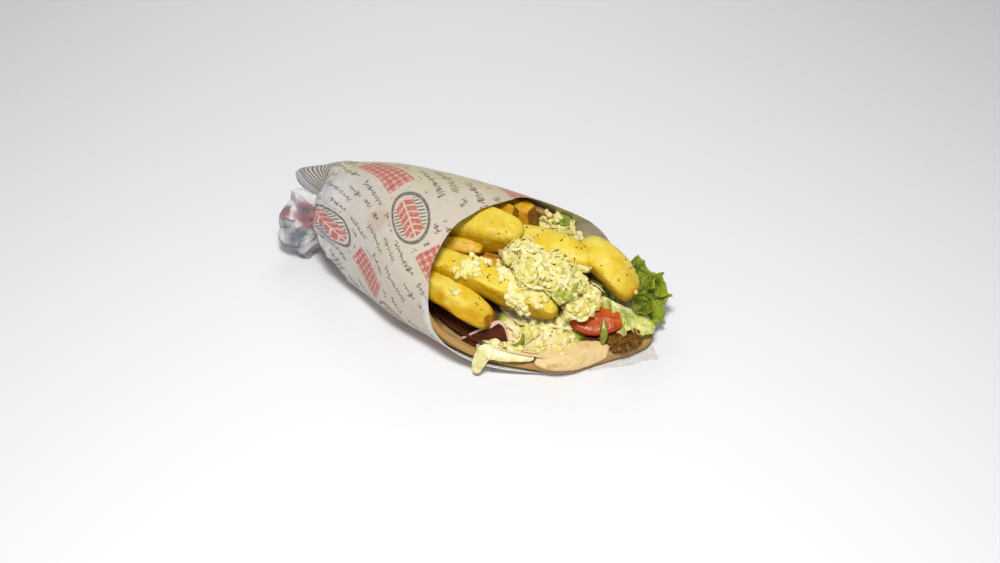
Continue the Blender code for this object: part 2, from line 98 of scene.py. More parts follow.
for name, (place, width, power) in LAMPS.items():
    lamp = bpy.data.lights.new(name, "AREA")
    lamp.size = width
    lamp.energy = power
    holder = bpy.data.objects.new(name, lamp)
    holder.location = place
    holder.rotation_euler = (-Vector(place)).to_track_quat("-Z", "Y").to_euler()
    bpy.context.scene.collection.objects.link(holder)

sky = bpy.data.worlds.new("soft_sky")
sky.use_nodes = True
sky_sockets = sky.node_tree.nodes["Background"].inputs
sky_sockets["Color"].default_value = SKY_COLOUR
sky_sockets["Strength"].default_value = SKY_STRENGTH
bpy.context.scene.world = sky

right = Vector((math.cos(CAMERA_AZIMUTH), math.sin(CAMERA_AZIMUTH), 0.0))
level = Vector((right.y, -right.x, 0.0))
back = level * math.cos(CAMERA_ELEVATION) + Vector((0, 0, math.sin(CAMERA_ELEVATION)))
up = back.cross(right)
eye = LOOKED_AT + right * OFF_CENTRE[0] + up * OFF_CENTRE[1] + back * CAMERA_AWAY
camera = bpy.data.objects.new("camera", bpy.data.cameras.new("camera"))
camera.data.lens = CAMERA_LENS
camera.data.clip_start = 0.01
turned = Matrix((right, up, back)).transposed().to_4x4()
camera.matrix_world = Matrix.Translation((eye + Vector(SHIFT)) * MILLIMETRE) @ turned
bpy.context.scene.collection.objects.link(camera)
bpy.context.scene.camera = camera
bpy.context.scene.view_settings.view_transform = "Standard"


# The printed paper wrap
# One sheet of thin greaseproof paper, rolled around the pita and twisted shut at the tail,
# where it is pressed into sharp little facets. It is printed with gingham patches, striped
# ovals and pen strokes in red and dark brown, and grease has made its far side yellowish.

# How thick the wrapped paper is, and its free edge
PAPER = 0.7
EDGE_THICK = 0.3
# How far the wrap sags where it rests, and how much its weight flattens it
SAG = 1.2
SLUMP = 1.2
# The wrapped form along x: where its middle runs, how far it reaches to each side, how high it
# is, how far its cross-sections are skewed towards the tail, and how square they are
CENTRE = ((-90, 3), (-40, 3), (0, 1), (40, 0), (80, 6), (120, 10))
NEAR_HALF = ((-90, 36), (-40, 51), (0, 57), (40, 62), (60, 60), (80, 56), (120, 32))
FAR_HALF = ((-90, 36), (-40, 48), (0, 50), (40, 51), (80, 42), (120, 24))
HEIGHT = ((-90, 54), (-40, 64), (0, 66), (40, 64), (80, 58), (120, 54))
SKEW = ((-90, 0.6), (-60, 0.38), (-20, 0.04), (0, 0.0))
SQUARENESS = ((-90, 0.85), (0, 0.8), (40, 0.75), (80, 0.64), (120, 0.6))
# How far along x the paper's free edge lies, all the way round
PAPER_EDGE = (
    (-180, 6), (-170, 2), (-160, 1.5), (-145, 2), (-130, 3), (-115, 6), (-100, 8),
    (-90, 10), (-80, 15), (-70, 23), (-60, 36), (-50, 52), (-40, 70), (-30, 84), (-20, 99),
    (-12, 110), (-7, 114), (-3, 120), (1, 114), (8, 108), (24, 99), (42, 91), (60, 83), (75, 76),
    (90, 70), (100, 65), (110, 59), (120, 51), (130, 36), (140, 23), (150, 18),
    (160, 16), (170, 12), (180, 6),
)
# Where the shoulder meets the body, and how deep into the wrap its hollow goes
SHOULDER_X = -84.0
CAVITY_X = -78.0
# The twisted tail: its two ends, the way it fans out, and its half widths from its end to its neck
NECK = np.array((-98.0, -3.0, 25.0))
TAIL_END = np.array((-125.0, -10.0, 15.0))
FAN_WAY = np.array((-13.0, 30.0, 25.0))
TAIL_SPREAD = ((0, 16), (0.25, 20.5), (0.55, 17), (0.85, 9.5), (1, 8.5))
TAIL_DEPTH = ((0, 9), (0.25, 12), (0.55, 11.5), (0.85, 8.5), (1, 8.5))
# The ear of paper that stands out beside the neck: the turn it lies at, and how far it reaches
EAR_TURN = 108.0
EAR_SPREAD = 30.0
EAR_REACH = np.array([-33.0, -14.0, 1.0])
SHEET_GIRTH = 300.0
# The mesh: its points round the sheet and its rows from the tail's end to the open edge and back
SHEET_AROUND = 300
CLOSING_ROWS = 5
TAIL_ROWS = 44
SHOULDER_ROWS = 40
BODY_ROWS = 100
LINING_ROWS = 60
# The rows that are crushed hard, and those that are crushed at all
NECK_ROW = CLOSING_ROWS + TAIL_ROWS - 2
CRUSHED = CLOSING_ROWS + TAIL_ROWS + SHOULDER_ROWS + 6
# About how far apart the mesh's rows and its points in a row lie, in millimetres
ROW_STEP = 0.9
POINT_STEP = 0.4
# Where the tail's end and its neck lie along the flat sheet
TAIL_ALONG = -150.0
NECK_ALONG = -112.0
# The tail's facets: seed, how many along and round, and how deep the deepest goes
LARGE_FACETS = (5, (6, 11), 6.5)
SMALL_FACETS = (6, (18, 26), 1.6)
# The body's creases: size, seed, how many directions, and how deep
SOFT_CREASES = (32.0, 12, 4)
CREASE_DEPTH = 0.45
# Folds sharper than this show as edges
FOLD_ANGLE = math.radians(22)


def through(stations, at):
    """The smooth curve through a few (place, value) stations, level beyond its ends."""
    place, value = np.array(stations, float).T
    slope = np.gradient(value, place)
    at = np.clip(at, place[0], place[-1])
    i = np.clip(np.searchsorted(place, at) - 1, 0, len(place) - 2)
    gap = place[i + 1] - place[i]
    u = (at - place[i]) / gap
    start = (1 + 2 * u) * (1 - u) ** 2 * value[i] + u * (1 - u) ** 2 * gap * slope[i]
    end = u * u * (3 - 2 * u) * value[i + 1] - u * u * (1 - u) * gap * slope[i + 1]
    return start + end


def rounded(value, power):
    """A value raised to a power, with its sign kept."""
    return np.sign(value) * np.abs(value) ** power


def unit(way):
    return way / np.linalg.norm(way)


def ramp(value, start, over):
    """0 up to a start, then rising evenly to 1 over a length."""
    return np.clip((value - start) / over, 0, 1)


def girth(x, turn, inset=0.0):
    """Points on the wrapped form at x and turn, moved inwards by inset."""
    x, turn, inset = np.broadcast_arrays(np.asarray(x, float), turn, inset)
    angle = np.radians(turn)
    square = through(SQUARENESS, x)
    half = np.where(angle < 0, through(NEAR_HALF, x), through(FAR_HALF, x)) - inset
    y_off = half * rounded(np.sin(angle), square)
    rise = (1 - rounded(np.cos(angle), square)) / 2
    z = inset + (through(HEIGHT, x) - 2 * inset) * rise ** SLUMP - SAG
    skewed = x - through(SKEW, x) * y_off
    return np.stack([skewed, through(CENTRE, x) + y_off, np.maximum(z, inset)], -1)


def bumps(points, size, seed=0.0):
    """Smooth noise between about -1 and 1 at places, for bumps of that size."""
    points = np.asarray(points, float)
    move = np.array((seed, 2.7 * seed, -1.3 * seed))
    flat = (points / size + move).reshape(-1, 3)
    return np.array([noise.noise(spot) for spot in flat.tolist()]).reshape(points.shape[:-1])


def creases(points, size, seed, ways):
    """Straight folds in a few chance directions, between about -1 and 1, as in pressed paper."""
    chance = np.random.default_rng(seed)
    warp = np.stack([bumps(points, 2.2 * size, seed + k) for k in range(3)], -1) * size * 0.3
    total = 0.0
    for _ in range(ways):
        way = unit(chance.normal(size=3))
        length = size * chance.uniform(0.7, 1.5)
        wave = ((points + warp) @ way) / length + chance.uniform()
        total = total + 4 * np.abs(wave - np.round(wave)) - 1
    return total / math.sqrt(ways)


def outward(rings):
    """Unit normals of a grid of rings that close on themselves."""
    around = np.roll(rings, -1, 1) - np.roll(rings, 1, 1)
    along = np.gradient(rings, axis=0)
    normal = np.cross(around, along)
    return normal / np.maximum(np.linalg.norm(normal, axis=-1, keepdims=True), 1e-9)


def crumple_cells(rows, around, cells, chance):
    """Chance places on a grid of rows and columns, one in each cell, as two rows of numbers."""
    across = np.arange(cells[1]) * around / cells[1]
    i, j = np.meshgrid(np.linspace(0, rows - 1, cells[0]), across, indexing="ij")
    i[1:-1] += chance.uniform(-0.42, 0.42, i[1:-1].shape) * rows / cells[0]
    j += chance.uniform(-0.42, 0.42, j.shape) * around / cells[1]
    return i.ravel(), j.ravel()


def grid_shares(p, q, r, rows, around):
    """The grid places inside a triangle, and the share of each of its corners there."""
    margin = 1e-6
    low = np.ceil(np.minimum(np.minimum(p, q), r) - margin)
    high = np.floor(np.maximum(np.maximum(p, q), r) + margin)
    low = np.maximum(low, 0).astype(int)
    high = np.maximum(np.minimum(high, (rows - 1, around - 1)).astype(int), low - 1)
    row, column = np.mgrid[low[0]:high[0] + 1, low[1]:high[1] + 1]
    whole = (q[0] - p[0]) * (r[1] - p[1]) - (q[1] - p[1]) * (r[0] - p[0])
    b = ((row - p[0]) * (r[1] - p[1]) - (column - p[1]) * (r[0] - p[0])) / whole
    c = ((q[0] - p[0]) * (column - p[1]) - (q[1] - p[1]) * (row - p[0])) / whole
    within = (b >= -margin) & (c >= -margin) & (b + c <= 1 + margin)
    return row[within], column[within], (1 - b - c)[within], b[within], c[within]


def crumpled(rings, seed, cells, deepest):
    """The surface through some rings, folded into flat facets as crushed paper is."""
    rows, around = rings.shape[:2]
    chance = np.random.default_rng(seed)
    i, j = crumple_cells(rows, around, cells, chance)
    at = np.round(i).astype(int), np.round(j).astype(int) % around
    radius = np.linalg.norm(rings[at] - rings.mean(axis=1)[at[0]], axis=1)
    depth = np.minimum(0.35 * radius, deepest) * chance.uniform(-0.8, 1.2, len(i))
    corners = rings[at] + outward(rings)[at] * depth[:, None]
    laps = [(a, b + lap * around) for lap in (-1, 0, 1) for a, b in zip(i, j)]
    flat = [Vector((a * ROW_STEP, b * POINT_STEP)) for a, b in laps]
    spots, _, triangles, origin, _, _ = geometry.delaunay_2d_cdt(flat, [], [], 0, 1e-6)
    folded = rings.copy()
    for triangle in triangles:
        places = [np.array(spots[k]) / (ROW_STEP, POINT_STEP) for k in triangle]
        row, column, *shares = grid_shares(*places, rows, around)
        three = [corners[origin[k][0] % len(i)] for k in triangle]
        folded[row, column] = sum(share[:, None] * corner for share, corner in zip(shares, three))
    return folded


def lofted(rings):
    """Points and faces of a closed body through rings of points, each end closed by a fan."""
    rows, around = rings.shape[:2]
    spots = np.vstack([rings.reshape(-1, 3), rings[0].mean(0), rings[-1].mean(0)])
    i, j = np.mgrid[0:rows - 1, 0:around]
    k = (j + 1) % around
    quads = np.stack([i * around + j, i * around + k, (i + 1) * around + k, (i + 1) * around + j], -1)
    quads = quads.reshape(-1, 4)
    j, k = np.arange(around), (np.arange(around) + 1) % around
    first, last = rows * around, rows * around + 1
    fans = [(first, b, a) for a, b in zip(j, k)]
    fans += [(last, (rows - 1) * around + a, (rows - 1) * around + b) for a, b in zip(j, k)]
    a, b, c, d = (spots[quads[:, n]] for n in range(4))
    volume = np.einsum("ij,ij->", a, np.cross(b, c)) + np.einsum("ij,ij->", a, np.cross(c, d))
    faces = quads.tolist() + [list(map(int, fan)) for fan in fans]
    return spots, faces if volume > 0 else [face[::-1] for face in faces]


def per_point(grid, ends=(0.0, 0.0)):
    """A value for each point of a lofted body: a grid over its rings, and its two ends."""
    return np.append(grid.ravel(), ends)


def merged(bodies):
    """One list of points and of faces for several (points, faces) bodies."""
    spots, faces, count = [], [], 0
    for points, corners in bodies:
        spots.append(points)
        faces += [[corner + count for corner in face] for face in corners]
        count += len(points)
    return np.vstack(spots), faces


def piece(name, body, finish, nodes, marks=None):
    """A piece of the gyro from a body in millimetres, with a named value or two per point."""
    spots, faces = body
    mesh = bpy.data.meshes.new(name)
    mesh.from_pydata(((spots + SHIFT) * MILLIMETRE).tolist(), [], faces)
    for mark, values in (marks or {}).items():
        mesh.attributes.new(mark, "FLOAT", "POINT").data.foreach_set("value", values)
    mesh.materials.append(finish)
    mesh.shade_smooth()
    obj = bpy.data.objects.new(name, mesh)
    bpy.context.scene.collection.objects.link(obj)
    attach(obj, "root")
    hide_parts(*nodes)
    return obj


def tail_middle(share):
    return NECK + (TAIL_END - NECK) * (1 - share)


def zigzag(degrees):
    """A wave with straight sides, between about -1.6 and 1.6, as pleats have."""
    return np.arcsin(np.cos(np.radians(degrees)))


def tail_ring(share, turn):
    """A ring of the crumpled tail: share runs from 0 at its end to 1 at the neck."""
    along, wide = unit(TAIL_END - NECK), unit(FAN_WAY)
    wide = unit(wide - along * (wide @ along))
    high = np.cross(wide, along)
    swirl = 150 * share
    angle = np.radians(turn - 130)
    deep = 0.24 * (1 - 0.75 * share)
    folds = 1 + deep * (0.64 * zigzag(5 * turn + swirl) + 0.32 * zigzag(9 * turn - 2 * swirl))
    middle = tail_middle(share)
    sideways = through(TAIL_SPREAD, share) * folds * np.cos(angle)
    upwards = through(TAIL_DEPTH, share) * folds * np.sin(angle)
    ring = middle + wide * sideways[:, None] + high * upwards[:, None]
    ring[:, 2] = np.maximum(ring[:, 2], 0.5)
    return ring


def shoulder_ring(share, turn):
    """A ring from the neck, at share 0, out to the full width of the wrap at 1."""
    neck, full = tail_ring(1.0, turn), girth(SHOULDER_X, turn)
    soft = (1 + np.cos(np.radians(turn + 25))) / 2
    out = (1 - soft) * math.sqrt(1 - (1 - share) ** 2) + soft * share ** 0.9
    ring = neck + (full - neck) * np.stack([share ** (1.8 - 0.7 * soft), out, out], -1)
    middle = ring.mean(axis=0)
    pleats = 0.05 * zigzag(9 * turn + 40) + 0.03 * zigzag(16 * turn)
    pleats = 1 + pleats * math.sin(math.pi * share ** 0.7)
    ring[:, 1:] = middle[1:] + (ring[:, 1:] - middle[1:]) * pleats[:, None]
    ear = np.exp(-((turn - EAR_TURN) / EAR_SPREAD) ** 2) * math.sin(math.pi * share ** 0.8)
    ring += ear[:, None] * EAR_REACH
    ring[:, 2] = np.maximum(ring[:, 2], 0)
    return ring


turn = np.linspace(-180, 180, SHEET_AROUND, endpoint=False)
edge = through(PAPER_EDGE, turn)
rings, along, pressed = [], [], []


def lay_ring(ring, place, crush):
    """Adds a ring, its places along the flat sheet, and how hard it is crushed."""
    rings.append(ring)
    along.append(np.zeros(SHEET_AROUND) + place)
    pressed.append(crush)


for shrink in np.linspace(0.1, 0.5, CLOSING_ROWS):
    ring = tail_ring(0.0, turn) * shrink + TAIL_END * (1 - shrink)
    lay_ring(ring, TAIL_ALONG - 12 * (1 - shrink), 0.8)
for share in np.linspace(0, 0.97, TAIL_ROWS):
    shrink = 0.55 + 0.45 * min(share / 0.18, 1.0)
    ring = tail_ring(share, turn) * shrink + tail_middle(share) * (1 - shrink)
    lay_ring(ring, NECK_ALONG + (TAIL_ALONG - NECK_ALONG) * (1 - share), 1.0)
for share in np.linspace(0.0, 0.97, SHOULDER_ROWS):
    crush = 0.25 + 0.6 * (1 - share) ** 1.5
    place = SHOULDER_X + (NECK_ALONG - SHOULDER_X) * (1 - share)
    lay_ring(shoulder_ring(share, turn), place, crush)
for share in np.linspace(0, 1, BODY_ROWS):
    place = SHOULDER_X + (edge - SHOULDER_X) * share
    lay_ring(girth(place, turn), place, max(0.25 * (1 - share * 18), 0))
outside = len(rings)
for share in np.linspace(1, 0, LINING_ROWS):
    place = CAVITY_X + (edge - CAVITY_X) * share
    inset = PAPER - (PAPER - EDGE_THICK) * np.clip(1 - (1 - share) * 20, 0, 1)
    lay_ring(girth(place, turn, inset), place, 0.0)
rings, along, pressed = np.array(rings), np.array(along), np.array(pressed)

# The crushed tail, with painted shade in the hollows of its folds, and the lighter brim along the near edge
crushed = rings[:CRUSHED].copy()
crushed[:NECK_ROW] = crumpled(crushed[:NECK_ROW], *LARGE_FACETS)
crushed = crumpled(crushed, *SMALL_FACETS)
crushed = (crushed - rings[:CRUSHED]) * np.minimum(1.0, pressed[:CRUSHED, None, None] * 1.1)
brim = np.zeros(rings.shape[:2])
near_side = ramp(turn, -115, 20) * ramp(-turn, 25, 20)
body_rows = slice(outside - BODY_ROWS, outside)
brim[body_rows] = np.clip(1.8 - (edge - along[body_rows]) / 3.5, 0, 1) * near_side
hollow = np.zeros(rings.shape[:2])
hollow[:CRUSHED] = np.clip((crushed * -outward(rings[:CRUSHED])).sum(axis=-1) / 4.0, 0, 1)
rings[:CRUSHED] += crushed
# Facets of the tail that face down get painted shade as well
turned_down = np.clip(0.75 - outward(rings[:NECK_ROW])[..., 2], 0, 1)
hollow[:NECK_ROW] = np.clip(hollow[:NECK_ROW] + 0.55 * turned_down, 0, 1)
normals = outward(rings[:outside])
soft = creases(rings[:outside] * np.array((0.5, 1, 1)), *SOFT_CREASES) * CREASE_DEPTH
# The creases fade out over the last rows, towards the free edge
soft = soft * np.minimum(1, (outside - np.arange(outside)) / 25)[:, None]
rings[:outside] += normals * soft[..., None]
rings[..., 2] = np.maximum(rings[..., 2], 0.0)


class Wire:
    """A socket in a material. Maths on it adds Math nodes, and add() adds any other node."""

    def __init__(self, tree, socket=None):
        self.tree, self.socket = tree, socket

    def add(self, kind, settings=None, inputs=None, out=0):
        made = self.tree.nodes.new("ShaderNode" + kind)
        for name, value in (settings or {}).items():
            if name == "stops":
                while len(made.color_ramp.elements) < len(value):
                    made.color_ramp.elements.new(1.0)
                for stop, (place, colour) in zip(made.color_ramp.elements, value):
                    stop.position, stop.color = place, (*colour, 1.0)
            else:
                setattr(made, name, value)
        for name, value in (inputs or {}).items():
            if isinstance(value, Wire):
                self.tree.links.new(value.socket, made.inputs[name])
            elif value is not None:
                made.inputs[name].default_value = value
        return Wire(self.tree, made.outputs[out])

    def maths(self, operation, *others):
        return self.add("Math", {"operation": operation}, dict(enumerate((self, *others))))

    def __add__(self, other):
        return self.maths("ADD", other)

    def __sub__(self, other):
        return self.maths("SUBTRACT", other)

    def __rsub__(self, other):
        return (self * -1.0).maths("ADD", other)

    def __mul__(self, other):
        return self.maths("MULTIPLY", other)

    def __truediv__(self, other):
        return self.maths("DIVIDE", other)

    __radd__ = __add__
    __rmul__ = __mul__

    def within(self, low, high):
        """0 below low, 1 above high and a soft step between, or the reverse if low is higher."""
        swap = low > high
        settings = {"interpolation_type": "SMOOTHSTEP"}
        span = {0: self, 1: min(low, high), 2: max(low, high), 3: float(swap), 4: float(not swap)}
        return self.add("MapRange", settings, span)

    def noise(self, scale, detail=2.0, rough=0.5, warp=0.0):
        """Noise of about scale bumps a metre, or a unit of what this socket gives."""
        inputs = {"Vector": self, "Scale": scale, "Detail": detail, "Roughness": rough, "Distortion": warp}
        return self.add("TexNoise", {"noise_dimensions": "3D"}, inputs)

    def tinted(self, over, colour):
        """This colour, with another colour laid over it as far as a mask says."""
        if not isinstance(colour, Wire):
            colour = (*colour, 1.0)
        return self.add("Mix", {"data_type": "RGBA"}, {0: over, 6: self, 7: colour}, 2)

    def layered(self, *layers):
        """This colour under several others, each laid over it as far as its mask says."""
        colour = self
        for over, tint in layers:
            colour = colour.tinted(over, tint)
        return colour

    def part(self, axis):
        return self.add("SeparateXYZ", {}, {0: self}, axis)

    def mark(self, name):
        """A named value of the mesh."""
        return self.add("Attribute", {"attribute_name": name}, {}, 2)


class Finish:
    """A material whose colour, roughness and relief are worked out over the surface."""

    def __init__(self, name, **sockets):
        self.made = bpy.data.materials.new(name)
        self.made.use_nodes = True
        self.tree = self.made.node_tree
        self.shader = self.tree.nodes["Principled BSDF"]
        for socket, value in sockets.items():
            self.shader.inputs[socket.replace("_", " ")].default_value = value
        self.wire = Wire(self.tree)
        self.place = self.wire.add("TexCoord", {}, {}, 3)

    def flat(self, colour):
        """A plain colour as a socket, to tint further."""
        return self.wire.add("Mix", {"data_type": "RGBA"}, {0: 0.0, 6: (*colour, 1.0)}, 2)

    def done(self, colour, roughness=None, relief=()):
        """Connects colour and roughness, and one Bump node for each (height, distance) pair."""
        self.tree.links.new(colour.socket, self.shader.inputs["Base Color"])
        if roughness is not None:
            self.tree.links.new(roughness.socket, self.shader.inputs["Roughness"])
        normal = None
        for height, distance in relief:
            inputs = {"Height": height, "Distance": distance * MILLIMETRE, "Normal": normal}
            normal = self.wire.add("Bump", {}, inputs)
        if normal is not None:
            self.tree.links.new(normal.socket, self.shader.inputs["Normal"])
        return self.made


# The print, in millimetres on the flat sheet: a tile, how far each row of tiles is moved along,
# and where its oval and its gingham patch sit in it
PRINT_TURN = math.radians(38)
PRINT_START = (400.0, 409.0)
TILE = (88.0, 60.0)
TILE_STEP = 37.0
OVAL = (22.0, 18.0)
OVAL_HALF = (20.0, 13.0)
GINGHAM = (67.0, 15.0)
GINGHAM_HALF = (18.0, 8.5)
CHECK = 4.4
PEN_ROW = 9.0
# The part of the sheet that shows on the folded ear, along it and between two places round it
EAR_ALONG = (-86.0, -90.0)
EAR_FROM = (50.0, 56.0)
EAR_TO = (130.0, 124.0)
PAPER_COOL = (0.58, 0.565, 0.56)
PAPER_WARM = (0.60, 0.52, 0.41)
PAPER_GREASED = (0.52, 0.45, 0.24)
PAPER_INNER = (0.74, 0.73, 0.69)
PAPER_CLOUDED = (0.47, 0.42, 0.36)
PAPER_FLECKED = (0.68, 0.66, 0.62)
# Painted highlight on the tail's raised facets, and painted shade in its folds
TAIL_LIT = (0.80, 0.80, 0.79)
TAIL_SHADED = (0.14, 0.15, 0.18)
STAIN_BROWN = (0.36, 0.20, 0.09)
BLOT_RED = (0.36, 0.070, 0.068)
INK_DARK = (0.050, 0.038, 0.028)
INK_RED = (0.50, 0.075, 0.050)
# Where the tail shows its red print and where a stain is, each with its reach in millimetres
BLOTS = (((-103, -13, 33), 11), ((-120, -14, 29), 4.5))
STAIN = ((-45, -25, 57), 8.0)


def stripes(along, period, share):
    """Stripes with soft sides that cover a share of each period."""
    wave = ((along / period).maths("FRACT") - 0.5).maths("ABSOLUTE")
    return wave.within(share / 2 + 0.06, share / 2 - 0.06)


def oval_badge(s, t, ear):
    """How far from an oval's middle a place is, its dark ring and hatching, and its red leaf."""
    across, over = s - OVAL[0], t - OVAL[1]
    far_across = (across / OVAL_HALF[0]).maths("POWER", 2.0)
    far = (far_across + (over / OVAL_HALF[1]).maths("POWER", 2.0)).maths("SQRT")
    off_middle = over.maths("ABSOLUTE")
    band = off_middle.within(6.6, 6.0)
    ring = far.within(1.03, 0.98) * far.within(0.85, 0.9)
    hatch = stripes(across + over * 0.35, 2.7, 0.42) * far.within(0.86, 0.80) * (1 - band * (1 - ear))
    leaf = stripes(across - off_middle * 0.6, 5.2, 0.78) * off_middle.within(0.35, 0.8)
    leaf = leaf * band * far.within(0.80, 0.72) * (1 - ear * 0.9)
    return far, ring + hatch, leaf


def gingham_patch(s, t):
    """The red of a checked patch, and the clear space that it keeps round itself."""
    near_s = (s - GINGHAM[0]).maths("ABSOLUTE")
    near_t = (t - GINGHAM[1]).maths("ABSOLUTE")

    def block(margin, soft):
        wide, high = GINGHAM_HALF[0] + margin, GINGHAM_HALF[1] + margin
        return near_s.within(wide, wide - soft) * near_t.within(high, high - soft)

    lines, rows = stripes(s, CHECK, 0.62), stripes(t, CHECK, 0.62)
    checks = lines.maths("MAXIMUM", rows) * 0.60 + lines * rows * 0.25 + 0.15
    return block(0.3, 0.6) * checks, block(3.0, 0.4)


def pen_strokes(wire, s, t, row):
    """Rows of quick pen strokes that spell nothing: a sine whose pace and height wander."""
    line = (t / PEN_ROW).maths("FLOOR")
    in_line = (t / PEN_ROW).maths("FRACT") * PEN_ROW - PEN_ROW / 2
    words = wire.add("CombineXYZ", {}, {0: s, 1: line * 7.3 + row * 3.1, 2: 0.0})
    swing = (s + in_line * 0.45) * 2.2 + words.noise(0.35, 2.0) * 12.0
    tall = words.noise(0.42, 1.0).within(0.38, 0.66) * 1.5 + 0.45
    wobble = swing.maths("SINE") * tall + (words.noise(0.11, 0.0) - 0.5) * 3.0
    slope = (swing.maths("COSINE") * tall * 2.4).maths("ABSOLUTE")
    stroke = ((in_line - wobble).maths("ABSOLUTE") / (slope + 1.0)).within(0.38, 0.22)
    return stroke * words.noise(0.085, 0.0).within(0.46, 0.49)


def paper_print(paper, u, v, shown):
    """How dark and how red the print is, over the places u and v of the flat sheet."""
    s = u * math.cos(PRINT_TURN) + v * math.sin(PRINT_TURN) + PRINT_START[0]
    t = v * math.cos(PRINT_TURN) - u * math.sin(PRINT_TURN) + PRINT_START[1]
    row = (t / TILE[1]).maths("FLOOR")
    s = ((s + row * TILE_STEP) / TILE[0]).maths("FRACT") * TILE[0]
    t = (t / TILE[1]).maths("FRACT") * TILE[1]
    # The folded ear of paper beside the tail shows an oval without its red
    ear = u.within(*EAR_ALONG) * v.within(*EAR_FROM) * v.within(*EAR_TO)
    far, badge, leaf = oval_badge(s, t, ear)
    checks, patch = gingham_patch(s, t)
    strokes = pen_strokes(paper.wire, s, t, row) * (1 - far.within(1.2, 1.1)) * (1 - patch)
    dark = (badge + strokes).maths("MINIMUM", 1.0) * shown * 0.85
    red = (leaf * 0.9).maths("MAXIMUM", checks) * shown
    return dark, red


def patch_round(paper, spot, reach, soft):
    """1 on a ragged patch of the paper round a spot, fading out at its rim."""
    there = tuple((np.array(spot) + SHIFT) * MILLIMETRE)
    away = paper.place.add("VectorMath", {"operation": "DISTANCE"}, {0: paper.place, 1: there}, 1)
    ragged = paper.place.noise(150.0, 3.0, 0.6)
    return (away / MILLIMETRE + (ragged - 0.5) * 9.0).within(reach + soft, reach - soft)


def printed_paper():
    paper = Finish("printed_paper", Specular_IOR_Level=0.35, Sheen_Weight=0.15)
    sheet = paper.wire.add("UVMap", {"uv_map": "sheet"})
    u, v = sheet.part(0), sheet.part(1)
    inside, hollow, brim = (paper.wire.mark(name) for name in ("inside", "hollow", "brim"))
    tail = u.within(-114.0, -118.0)
    worn = paper.place.noise(900.0, 3.0, 0.7).within(0.25, 0.50) * (1 - inside * 0.9)
    dark, red = paper_print(paper, u, v, worn * (1 - tail))
    first, second = (patch_round(paper, *blot, 2.0) for blot in BLOTS)
    stain = patch_round(paper, *STAIN, 3.0) * 0.28

    # Grease along the far side, and in spots on top towards the open end
    x, y, z = (paper.place.part(axis) for axis in range(3))
    spread = paper.place.noise(26.0, 3.0, 0.6)
    grease = (y + (spread - 0.5) * 0.07).within(0.004, 0.030) * z.within(0.030, 0.055) * 0.85
    spots = paper.place.noise(60.0, 2.0, 0.5).within(0.58, 0.72) * 0.5
    grease = grease.maths("MAXIMUM", spots * x.within(-0.06, 0.0) * z.within(0.045, 0.055))
    mottle = paper.place.noise(220.0, 4.0, 0.65).within(0.35, 0.75)
    fleck = paper.place.noise(420.0, 4.0, 0.7).within(0.55, 0.75)
    warm = (x * 1.2 + y * 0.6 + (spread - 0.5) * 0.12).within(-0.13, -0.03) * (1 - inside)
    colour = paper.flat(PAPER_COOL).layered(
        (warm, PAPER_WARM),
        (inside, PAPER_INNER),
        (mottle * 0.45, PAPER_CLOUDED),
        (fleck * 0.4, PAPER_FLECKED),
        (grease.maths("MAXIMUM", inside * y.within(0.01, 0.03) * 0.45), PAPER_GREASED),
        (stain, STAIN_BROWN),
        # Painted highlight on the tail's raised facets, then painted shade in its folds and on facets that
        # face down
        (tail * hollow.within(0.3, 0.0) * 0.7, TAIL_LIT),
        (first.maths("MAXIMUM", second) * 0.85, BLOT_RED),
        (hollow * 0.95, TAIL_SHADED),
        (red, INK_RED),
        (dark, INK_DARK),
        (brim * 0.85, PAPER_INNER),
    )
    fibres = paper.place.noise(2600.0, 3.0, 0.7)
    wrinkles = paper.place.noise(150.0, 4.0, 0.6, 0.6)
    return paper.done(colour, 0.62 - grease * 0.3, [(wrinkles, 0.8), (fibres, 0.05)])


def values_of(items, name, width=1, kind=float):
    """A value, or a row of width values, for each of a mesh's items."""
    values = np.empty(len(items) * width, kind)
    items.foreach_get(name, values)
    return values if width == 1 else values.reshape(-1, width)


def map_sheet(obj, along, girth_share):
    """The sheet's own map, from each point's place along it and its share of the way round."""
    mesh = obj.data
    corners = values_of(mesh.loops, "vertex_index", kind=int)
    round_it = (girth_share * SHEET_GIRTH)[corners]
    starts = values_of(mesh.polygons, "loop_start", kind=int)
    counts = values_of(mesh.polygons, "loop_total", kind=int)
    highest = np.repeat(np.maximum.reduceat(round_it, starts), counts)
    # A face across the seam keeps all its corners on one side of it
    round_it = np.where(highest - round_it > SHEET_GIRTH / 2, round_it + SHEET_GIRTH, round_it)
    places = np.stack([along[corners], round_it], -1)
    mesh.uv_layers.new(name="sheet").data.foreach_set("uv", places.ravel())


inside = np.zeros(rings.shape[:2])
inside[outside:] = 1.0
wrap = piece("paper_wrap_sheet", lofted(rings), printed_paper(), ["paper_wrap"],
             {"inside": per_point(inside, (1.0, 1.0)), "hollow": per_point(hollow), "brim": per_point(brim)})
wrap.data.set_sharp_from_angle(angle=FOLD_ANGLE)
round_share = np.tile((turn % 360) / 360, len(rings))
map_sheet(wrap, per_point(along, (along[0, 0], along[-1, 0])), per_point(round_share))


# The flatbread
# A round of soft pita, 6 to 7 mm thick, browned in patches on the griddle. It is rolled up
# inside the paper, and its near lip is folded over at the open end.

# How thick the bread is, how far apart two layers lie, and how far in the bread does
BREAD = 6.5
GAP = 0.35
PITA_INSET = PAPER + GAP
